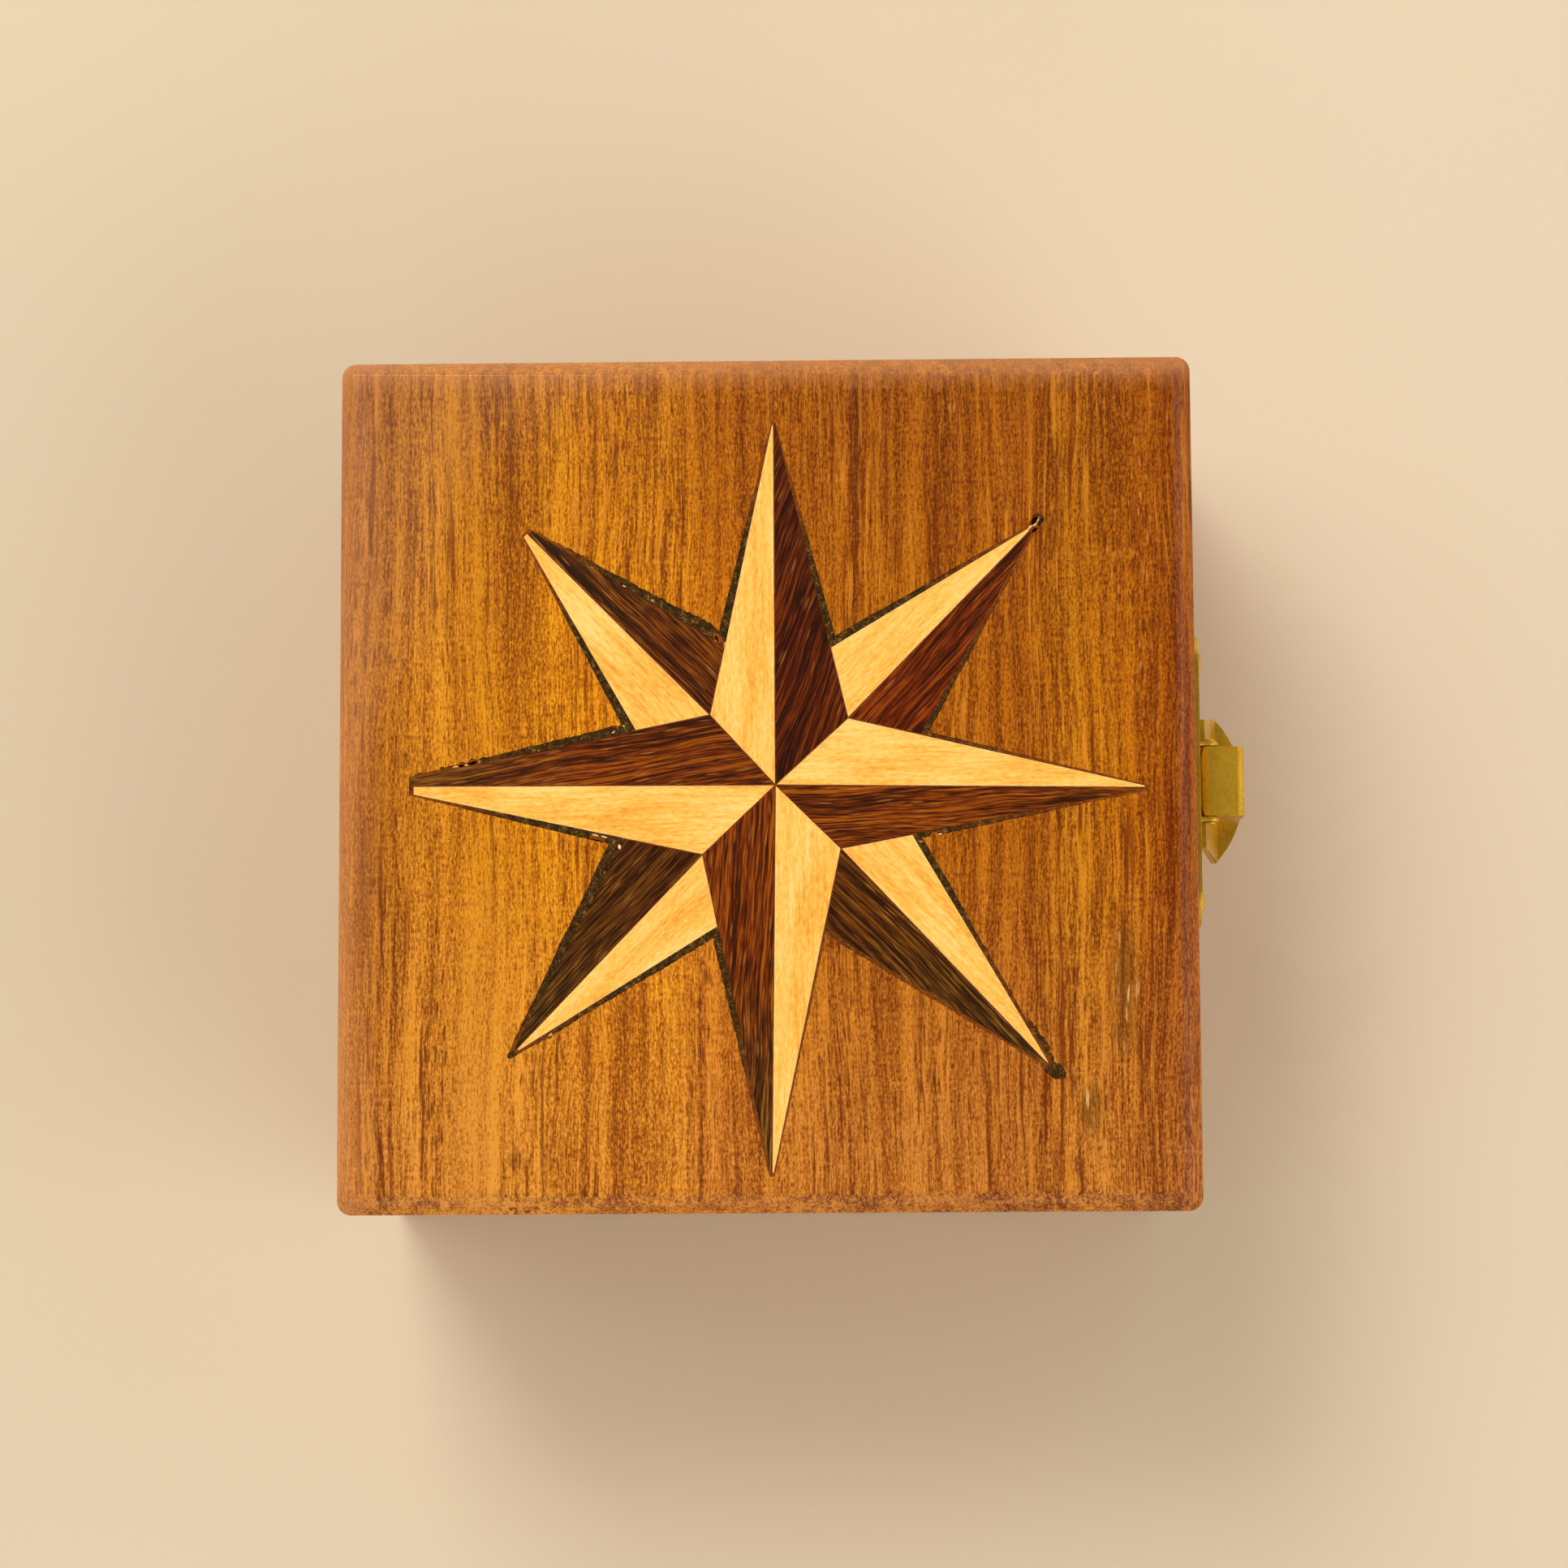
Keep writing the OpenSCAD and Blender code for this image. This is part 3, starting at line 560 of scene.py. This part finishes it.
def piece(name, bm, material, body, slot, stands_for):
    """Makes an object of a mesh drawn in millimetres, finishes it, and hides the CAD solid it replaces."""
    bmesh.ops.scale(bm, vec=(MM, MM, MM), verts=bm.verts)
    bmesh.ops.recalc_face_normals(bm, faces=bm.faces)
    mesh = bpy.data.meshes.new(name)
    bm.to_mesh(mesh)
    bm.free()
    made = bpy.data.objects.new(name, mesh)
    bpy.context.scene.collection.objects.link(made)
    mesh.materials.append(material)
    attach(made, body)
    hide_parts(stands_for)
    return made


def smooth(made, degrees):
    """Shades a piece smooth, apart from edges that turn by more than so many degrees."""
    mesh = made.data
    mesh.polygons.foreach_set("use_smooth", [True] * len(mesh.polygons))
    mesh.set_sharp_from_angle(angle=math.radians(degrees))


def add_loop(bm, points):
    """New vertices at the points, in their order."""
    return [bm.verts.new(p) for p in points]


def bridge(bm, lower, upper):
    """Joins two loops of the same number of points with quads."""
    faces = []
    for i in range(len(lower)):
        j = (i + 1) % len(lower)
        faces.append(bm.faces.new((lower[i], lower[j], upper[j], upper[i])))
    return faces


def loop_edges(bm, loop):
    """The edges round a closed loop, made where they are missing."""
    edges = []
    for i in range(len(loop)):
        pair = (loop[i], loop[(i + 1) % len(loop)])
        edges.append(bm.edges.get(pair) or bm.edges.new(pair))
    return edges


# ------------------------------------------------------------------ outlines read from the frame

STAR_PIECES = [f"{arm}_{half}" for arm in ARM_ANGLE for half in ("light", "dark")]

# Points closer than this are one point, in metres within a mesh and in millimetres within an outline.
SAME_POINT = 1e-6
SAME_CORNER = 0.02


def counter_clockwise(points):
    """The points sorted by their direction from their middle."""
    middle = sum(points, Vector((0, 0))) / len(points)
    return sorted(points, key=lambda p: math.atan2(p.y - middle.y, p.x - middle.x))


def top_corners(node):
    """Corners of a flat piece's upper face, counter-clockwise, in millimetres."""
    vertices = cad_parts[node].data.vertices
    top = max(v.co.z for v in vertices)
    corners = []
    for v in vertices:
        flat = v.co.xy / MM
        if abs(v.co.z - top) < SAME_POINT and all((flat - c).length > SAME_CORNER for c in corners):
            corners.append(flat)
    return counter_clockwise(corners)


def recess_corners():
    """Corners of the star-shaped recess in the lid, counter-clockwise, in millimetres."""
    bm = bmesh.new()
    bm.from_mesh(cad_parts["lid_panel"].data)
    bmesh.ops.remove_doubles(bm, verts=bm.verts, dist=SAME_POINT)
    top = max(v.co.z for v in bm.verts)
    at_top = [e for e in bm.edges if all(abs(v.co.z - top) < SAME_POINT for v in e.verts)]
    rim = {e for e in at_top if any(abs(f.normal.z) < 0.1 for f in e.link_faces)}
    here = next(iter(rim)).verts[0]
    corners = []
    while rim:
        corners.append(here.co.xy / MM)
        edge = next(e for e in here.link_edges if e in rim)
        rim.discard(edge)
        here = edge.other_vert(here)
    bm.free()
    area = sum(a.cross(b) for a, b in zip(corners, corners[1:] + corners[:1]))
    return corners if area > 0 else corners[::-1]


def distance_to_outline(point, corners):
    """How far a point is from an outline's nearest side."""
    best = math.inf
    for a, b in zip(corners, corners[1:] + corners[:1]):
        along = max(0.0, min(1.0, (point - a).dot(b - a) / (b - a).length_squared))
        best = min(best, (a + (b - a) * along - point).length)
    return best


def cut_edge(corners, step, offset_at):
    """The outline with its sides divided into steps, and each new point moved out by offset_at."""
    points = []
    for a, b in zip(corners, corners[1:] + corners[:1]):
        run = b - a
        outward = Vector((run.y, -run.x)).normalized()
        count = max(1, round(run.length / step))
        points.append(a.copy())
        for k in range(1, count):
            here = a + run * (k / count)
            to_corner = min(k, count - k) / count * run.length
            points.append(here + outward * offset_at(here, to_corner))
    return points


def piece_outlines():
    """Each inlay piece's outline, with the small waviness of a fretsaw cut."""
    outlines = {}
    for number, name in enumerate(STAR_PIECES):
        def sawn(p, to_corner, seed=number):
            return CUT_WAVE * wave(p.x * 0.9, p.y * 0.9, seed) * min(1.0, to_corner / 2)
        outlines[name] = cut_edge(top_corners(f"star_{name}"), CUT_STEP, sawn)
    return outlines


def beside_arm(arm, along, across):
    """The point so far along an arm of the star from its centre, and so far to the arm's left."""
    angle = math.radians(ARM_ANGLE[arm])
    ahead = Vector((math.cos(angle), math.sin(angle)))
    return Vector(STAR_CENTRE) + ahead * along + Vector((-ahead.y, ahead.x)) * across


def crowded(points, centre, radius):
    """The outline with extra points near a bite, so that the bite comes out round."""
    dense = []
    for a, b in zip(points, points[1:] + points[:1]):
        dense.append(a)
        if (a - centre).length < radius * 1.3 and (b - a).length > 0.12:
            dense += [a.lerp(b, k / 4) for k in range(1, 4)]
    return dense


def crossing(a, b, c, d):
    """Whether the stretch a-b crosses the stretch c-d."""
    first = b - a
    second = d - c
    parts_c_from_d = first.cross(c - a) * first.cross(d - a) < 0
    parts_a_from_b = second.cross(a - c) * second.cross(b - c) < 0
    return parts_c_from_d and parts_a_from_b


def tangled(points, centre, reach):
    """Whether the outline crosses itself near a bite."""
    pairs = zip(points, points[1:] + points[:1])
    near = [(a, b) for a, b in pairs if (a - centre).length < reach]
    return any(crossing(*first, *second) for k, first in enumerate(near) for second in near[:k])


def bitten(points, centre, radius, seed):
    """Moves the points inside a bite out to its ragged edge, or takes a smaller bite if they tangle."""
    for _ in range(BITE_TRIES):
        moved = []
        for p in crowded(points, centre, radius):
            off = p - centre
            reach = radius * (1 + BITE_RAGGED * wave(off.x * 2.6 + seed, off.y * 2.6, 5))
            moved.append(centre + off.normalized() * reach if off.length < reach else p)
        if not tangled(moved, centre, radius * 3):
            return moved
        radius *= BITE_SHRINK
    return points


def recess_outline():
    """The recess's edge: torn out of the lid's wood, more beside some pieces, with round bites."""
    shapes = {name: top_corners(f"star_{name}") for name in STAR_PIECES}

    def torn(p, to_corner):
        nearest = min(shapes, key=lambda name: distance_to_outline(p, shapes[name]))
        slow = max(0.0, wave(p.x * 0.30, p.y * 0.30, 3) + 0.25)
        quick = abs(wave(p.x * 1.6, p.y * 1.6, 4))
        return TORN[nearest] * (0.6 * slow + 0.9 * quick) * min(1.0, to_corner / 1.2)

    points = cut_edge(recess_corners(), CUT_STEP * 0.6, torn)
    for number, (arm, along, across, radius) in enumerate(BITES):
        points = bitten(points, beside_arm(arm, along, across), radius, number * 3.7)
    return points


def ragged_oval(centre, half_long, half_wide, angle, seed, count=14):
    """A small uneven oval with pointed ends, counter-clockwise."""
    ahead = Vector((math.cos(angle), math.sin(angle)))
    aside = Vector((-ahead.y, ahead.x))
    points = []
    for k in range(count):
        turn = math.tau * k / count
        swell = 1 + 0.35 * wave(math.cos(turn) * 1.7 + seed, math.sin(turn) * 1.7, 6)
        wide = half_wide * math.sin(turn) * abs(math.sin(turn)) ** 0.3
        points.append(centre + ahead * (half_long * math.cos(turn) * swell) + aside * (wide * swell))
    return points


def free_room(point, outlines):
    """How far a point is from the nearest of some outlines."""
    return min(distance_to_outline(point, outline) for outline in outlines)


def inside(point, outline):
    """Whether a point lies within an outline."""
    crossed = False
    for a, b in zip(outline, outline[1:] + outline[:1]):
        if (a.y > point.y) != (b.y > point.y):
            crossed ^= point.x < a.x + (b.x - a.x) * (point.y - a.y) / (b.y - a.y)
    return crossed


def void_outlines(outlines, recess):
    """The gaps in the filler, each clear of the pieces, of the recess's edge and of the other gaps."""
    kept = []
    solid = list(outlines.values())
    for number, (arm, along, across, half_long, half_wide, lean) in enumerate(VOIDS):
        centre = beside_arm(arm, along, across)
        angle = math.radians(ARM_ANGLE[arm] + lean)
        shape = ragged_oval(centre, half_long, half_wide, angle, number * 2.3)
        for _ in range(VOID_TRIES):
            clear = all(inside(p, recess) and free_room(p, [recess] + solid + kept) > VOID_CLEAR
                        and not any(inside(p, other) for other in solid + kept) for p in shape)
            if clear:
                kept.append(shape)
                break
            shape = [centre.lerp(p, VOID_SHRINK) for p in shape]
    return kept


# ------------------------------------------------------------------ the lid panel

def quadratic(start, middle, end, steps):
    """Points on the curve that leaves start towards middle, and arrives at end from it."""
    points = []
    for k in range(steps + 1):
        t = k / steps
        points.append(start * (1 - t) ** 2 + middle * 2 * t * (1 - t) + end * t ** 2)
    return points


def band_profile():
    """(share of the band's width, depth under the top) from the upright side to the flat top."""
    foot = Vector((0.0, BAND_DROP))
    head = Vector((BAND_PLUS_X, 0.0))
    slope = (head - foot).normalized() * BAND_BLEND
    low = quadratic(foot + Vector((0, BAND_BLEND)), foot, foot + slope, BAND_STEPS)
    belly = (foot + slope + head - slope) / 2 + Vector((-BAND_BELLY, -BAND_BELLY))
    high = quadratic(head - slope, head, head + Vector((BAND_BLEND, 0)), BAND_STEPS)
    return [(p.x / BAND_PLUS_X, p.y) for p in low + [belly] + high]


def lid_ring(share, z):
    """One level of the lid's outline, with the given share of the band's width taken off each side."""
    low, high = node_box("lid_panel")
    right = high.x - BAND_PLUS_X * share
    top = high.y - BAND_HINGES * share
    left = low.x + BAND_MINUS_X * share
    bottom = low.y + BAND_CATCH * share
    radius = LID_CORNER + (INNER_CORNER - LID_CORNER) * min(1.0, share)
    centres = [(right - radius, top - radius), (left + radius, top - radius),
               (left + radius, bottom + radius), (right - radius, bottom + radius)]
    corners = []
    for quarter, (cx, cy) in enumerate(centres):
        arc = []
        for k in range(CORNER_STEPS + 1):
            turn = math.radians(90 * (quarter + k / CORNER_STEPS))
            arc.append(Vector((cx + radius * math.cos(turn), cy + radius * math.sin(turn), z)))
        corners.append(arc)
    ring = []
    for arc, following in zip(corners, corners[1:] + corners[:1]):
        ring += arc
        ring += [arc[-1].lerp(following[0], k / SIDE_STEPS) for k in range(1, SIDE_STEPS)]
    for p in ring:
        if p.x > 0:
            p.x += share * BAND_TAPER * p.y * p.x / high.x
    return ring


def lid_panel(outline):
    """The lid's top board: sloping band all round, flat top, and the star-shaped recess sunk in it."""
    low, high = node_box("lid_panel")
    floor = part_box("inlay_filler")[0].z / MM
    bm = bmesh.new()
    under = add_loop(bm, lid_ring(UNDER_SHARE, low.z))
    ring = add_loop(bm, lid_ring(0.0, low.z + UNDER_RISE))
    bm.faces.new(under[::-1])
    bridge(bm, under, ring)
    for share, depth in band_profile():
        above = add_loop(bm, lid_ring(share, high.z - depth))
        bridge(bm, ring, above)
        ring = above
    rim = add_loop(bm, [(p.x, p.y, high.z) for p in outline])
    edges = loop_edges(bm, ring) + loop_edges(bm, rim)
    bmesh.ops.triangle_fill(bm, use_beauty=True, edges=edges, normal=(0, 0, 1))
    base = add_loop(bm, [(p.x, p.y, floor) for p in outline])
    bridge(bm, base, rim)
    bm.faces.new(base)
    material = wood("lid_wood", "X", (0, 0, 0), stains=True)
    made = piece("lid_board", bm, material, "lid", "lid_wood", "lid_panel")
    smooth(made, 35)


# ------------------------------------------------------------------ the star

def shrunk(points, amount):
    """The outline moved inwards by a small amount."""
    moved = []
    for before, here, after in zip(points[-1:] + points[:-1], points, points[1:] + points[:1]):
        first = (here - before).normalized()
        second = (after - here).normalized()
        inward = Vector((-first.y - second.y, first.x + second.x))
        moved.append(here + inward.normalized() * amount)
    return moved


def star_piece(name, outline, material, chance):
    """One sawn piece of the star, with its upper edge just eased by sanding."""
    low, high = node_box(f"star_{name}")
    top = high.z - chance.uniform(0.0, PIECE_SINK)
    bm = bmesh.new()
    rim_highlight_layer = bm.loops.layers.float.new("rim")
    levels = [(outline, low.z), (outline, top - PIECE_EASE), (shrunk(outline, PIECE_EASE), top)]
    loops = [add_loop(bm, [(p.x, p.y, z) for p in points]) for points, z in levels]
    bm.faces.new(loops[0][::-1])
    bridge(bm, loops[0], loops[1])
    eased = bridge(bm, loops[1], loops[2])
    bm.faces.new(loops[2])
    # The eased faces are marked "rim"; the light inlay paints a highlight there.
    for face in eased:
        for corner in face.loops:
            corner[rim_highlight_layer] = 1.0
    made = piece(f"inlay_{name}", bm, material, "lid", f"{name.split('_')[1]}_inlay", f"star_{name}")
    smooth(made, 30)


def star(outlines):
    """The sixteen pieces, light and dark by turns round the star."""
    chance = random.Random(SEED)
    for name, outline in outlines.items():
        arm, half = name.split("_")
        material = light_inlay(arm) if half == "light" else dark_inlay(arm)
        star_piece(name, outline, material, chance)


def filler(outlines, recess):
    """The glue and wood dust between the pieces and the lid: a thin web, with a bed under the pieces."""
    bed = node_box("inlay_filler")[0].z
    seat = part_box("star_n_light")[0].z / MM
    level = node_box("lid_panel")[1].z - FILLER_SINK
    bm = bmesh.new()
    wide_layer = bm.verts.layers.float.new("wide")
    clean_recess = recess_corners()
    clean = {name: top_corners(f"star_{name}") for name in STAR_PIECES}
    outer = add_loop(bm, [(p.x, p.y, level) for p in recess])
    for v in outer:
        v[wide_layer] = free_room(v.co.xy, clean.values())
    pockets = []
    for name, outline in outlines.items():
        others = [clean[other] for other in STAR_PIECES if other != name] + [clean_recess]
        pocket = add_loop(bm, [(p.x, p.y, level) for p in outline])
        for v in pocket:
            v[wide_layer] = free_room(v.co.xy, others)
        pockets.append(pocket)
    gaps = []
    for shape in void_outlines(outlines, recess):
        gaps.append(add_loop(bm, [(p.x, p.y, level) for p in shape]))
    edges = loop_edges(bm, outer)
    for hole in pockets + gaps:
        edges += loop_edges(bm, hole)
    bmesh.ops.triangle_fill(bm, use_beauty=True, edges=edges, normal=(0, 0, 1))
    sunk = [(pocket, seat) for pocket in pockets]
    sunk += [(gap, level - VOID_DEPTH) for gap in gaps]
    for hole, depth in sunk:
        bottom = add_loop(bm, [(v.co.x, v.co.y, depth) for v in hole])
        bridge(bm, bottom, hole)
        bm.faces.new(bottom)
    base = add_loop(bm, [(v.co.x, v.co.y, bed) for v in outer])
    bridge(bm, base, outer)
    bm.faces.new(base[::-1])
    made = piece("glue_lines", bm, filler_finish(), "lid", "filler", "inlay_filler")
    smooth(made, 40)


def splinters():
    """Slivers of pale wood that broke off the edges and were caught in the filler."""
    level = node_box("lid_panel")[1].z - FILLER_SINK
    bm = bmesh.new()
    for number, (arm, along, across, half_long, half_wide, lean) in enumerate(SPLINTERS):
        centre = beside_arm(arm, along, across)
        angle = math.radians(ARM_ANGLE[arm] + lean)
        shape = ragged_oval(centre, half_long, half_wide, angle, number * 1.9)
        lower = add_loop(bm, [(p.x, p.y, level - SPLINTER_ROOT) for p in shape])
        upper = add_loop(bm, [(*centre.lerp(p, SPLINTER_TOP), level + SPLINTER_RISE) for p in shape])
        bm.faces.new(lower[::-1])
        bridge(bm, lower, upper)
        bm.faces.new(upper)
    made = piece("splinters", bm, splinter_finish(), "lid", "light_inlay", "inlay_filler")
    smooth(made, 50)


# ------------------------------------------------------------------ CAD pieces that keep their shape

def eased(node, width, material, segments=2):
    """Gives a CAD node its finish, and rounds its sharp edges a little."""
    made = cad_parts[node]
    for slot in made.material_slots:
        slot.material = material
    weld = made.modifiers.new("weld", "WELD")
    weld.merge_threshold = WELD_REACH * MM
    flat = made.modifiers.new("flat", "DECIMATE")
    flat.decimate_type = "DISSOLVE"
    flat.angle_limit = math.radians(FLAT_WITHIN)
    ease = made.modifiers.new("ease", "BEVEL")
    ease.width = width * MM
    ease.segments = segments
    ease.limit_method = "ANGLE"
    ease.angle_limit = math.radians(EASE_OVER)
    ease.use_clamp_overlap = True
    even = made.modifiers.new("even", "WEIGHTED_NORMAL")
    even.keep_sharp = False
    even.weight = 100


def boards():
    """The rails of the lid, the walls and the bottom, each cut from its own stretch of wood."""
    for number, (side, tone) in enumerate(BOARD_TONES.items()):
        axis = "X" if side in ("front", "back") else "Y"
        shift = (37.0 * number + 11.0, 53.0 * number + 5.0, 0.0)
        material = wood(f"{side}_board_wood", axis, shift, rgb(*tone))
        eased(f"lid_rail_{side}", BOARD_EASE, material)
        eased(f"wall_{side}", BOARD_EASE, material)
    eased("bottom_panel", BOTTOM_EASE, wood("bottom_wood", "X", BOTTOM_SHIFT, rgb(*BOTTOM_TONE)))


def fittings():
    """Hinges, plates, nails and the catch, all in brass."""
    hinge = brass("hinge")
    plate = brass("plate")
    lever = brass("lever")
    nail = brass("nail")
    for side in ("left", "right"):
        for part in ("lid_leaf", "body_leaf", "pin"):
            eased(f"hinge_{side}_{part}", BRASS_EASE, hinge)
    for part in ("clasp_lid_plate", "clasp_body_plate", "clasp_pin"):
        eased(part, BRASS_EASE, plate)
    eased("clasp_lever", LEVER_EASE, lever, LEVER_STEPS)
    for part in ("hinge_lid_nails", "hinge_body_nails", "clasp_lid_nails", "clasp_body_nails"):
        eased(part, NAIL_EASE, nail)


# ------------------------------------------------------------------ the setting
# Here lengths are metres.

FLOOR_HALF = 3.0

# Soft lamps: place, target, size, power and colour.
LAMPS = {
    "key": ((0.42, 0.50, 1.0), (0, 0, 0.04), 0.8, 3.2, (1.0, 0.95, 0.87)),
    "window": ((0.58, 0.30, 0.88), (0, 0, 0.05), 0.42, 4.2, (1.0, 0.96, 0.90)),
    "fill": ((-0.45, -0.75, 0.75), (0, 0, 0.03), 0.9, 4.2, (1.0, 0.96, 0.90)),
}

# The surrounding light: how strong it is, and its tones by height, from level (0) to overhead (1).
SKY_STRENGTH = 1.5
SKY_TONES = [(0.0, (0.95, 0.86, 0.72, 1)), (0.85, (0.14, 0.12, 0.09, 1))]


def floor():
    """A plain pale floor, with the faint unevenness of matt card."""
    bm = bmesh.new()
    bmesh.ops.create_grid(bm, x_segments=8, y_segments=8, size=FLOOR_HALF)
    mesh = bpy.data.meshes.new("floor")
    bm.to_mesh(mesh)
    bm.free()
    made = bpy.data.objects.new("floor", mesh)
    bpy.context.scene.collection.objects.link(made)
    s = Shader("floor_card")
    clouds = s.noise(s.scaled(s.place(), (0.004, 0.004, 0.004)), 3.0)
    fuzz = s.noise(s.scaled(s.place(), (0.6, 0.6, 0.6)), 3.0)
    colour = s.ramp(clouds, [(0.3, rgb(221, 206, 182)), (0.7, rgb(230, 216, 194))])
    s.bump(fuzz, 0.08, 0.4)
    mesh.materials.append(s.finish(colour, s.level(fuzz, 0.3, 0.7, 0.9, 0.8), Specular_IOR_Level=0.15))


def lamp(name, place, target, size, power, colour):
    """A soft square light that faces the target."""
    light = bpy.data.lights.new(name, "AREA")
    light.shape = "SQUARE"
    light.size = size
    light.energy = power
    light.color = colour
    made = bpy.data.objects.new(name, light)
    made.location = place
    made.rotation_mode = "QUATERNION"
    made.rotation_quaternion = (Vector(target) - Vector(place)).to_track_quat("-Z", "Y")
    bpy.context.scene.collection.objects.link(made)


def sky():
    """Soft surrounding light: bright and warm low down, dimmer overhead."""
    world = bpy.data.worlds.new("studio")
    bpy.context.scene.world = world
    world.use_nodes = True
    tree = world.node_tree
    where = tree.nodes.new("ShaderNodeTexCoord")
    axes = tree.nodes.new("ShaderNodeSeparateXYZ")
    tones = tree.nodes.new("ShaderNodeValToRGB")
    tree.links.new(where.outputs["Generated"], axes.inputs[0])
    tree.links.new(axes.outputs[2], tones.inputs[0])
    for element, (height, colour) in zip(tones.color_ramp.elements, SKY_TONES):
        element.position = height
        element.color = colour
    background = tree.nodes["Background"]
    tree.links.new(tones.outputs[0], background.inputs["Color"])
    background.inputs["Strength"].default_value = SKY_STRENGTH


def lights():
    """The surrounding light and the lamps."""
    sky()
    for name, settings in LAMPS.items():
        lamp(name, *settings)


def camera():
    """The camera, aimed so that the lid's +X side is at the top of the picture."""
    data = bpy.data.cameras.new("camera")
    data.lens = CAMERA_LENS
    data.sensor_width = CAMERA_SENSOR
    data.clip_start, data.clip_end = CAMERA_CLIP
    made = bpy.data.objects.new("camera", data)
    back = (CAMERA_PLACE - CAMERA_TARGET).normalized()
    right = CAMERA_TOP.cross(back).normalized()
    up = back.cross(right)
    turned = Matrix((right, up, back)).transposed().to_4x4()
    made.matrix_world = Matrix.Translation(CAMERA_PLACE) @ turned
    bpy.context.scene.collection.objects.link(made)
    bpy.context.scene.camera = made


# ------------------------------------------------------------------ putting it together

camera()
lights()
floor()
bpy.context.scene.view_settings.view_transform = "Standard"

sawn_outlines = piece_outlines()
torn_recess = recess_outline()
lid_panel(torn_recess)
star(sawn_outlines)
filler(sawn_outlines, torn_recess)
splinters()
boards()
fittings()
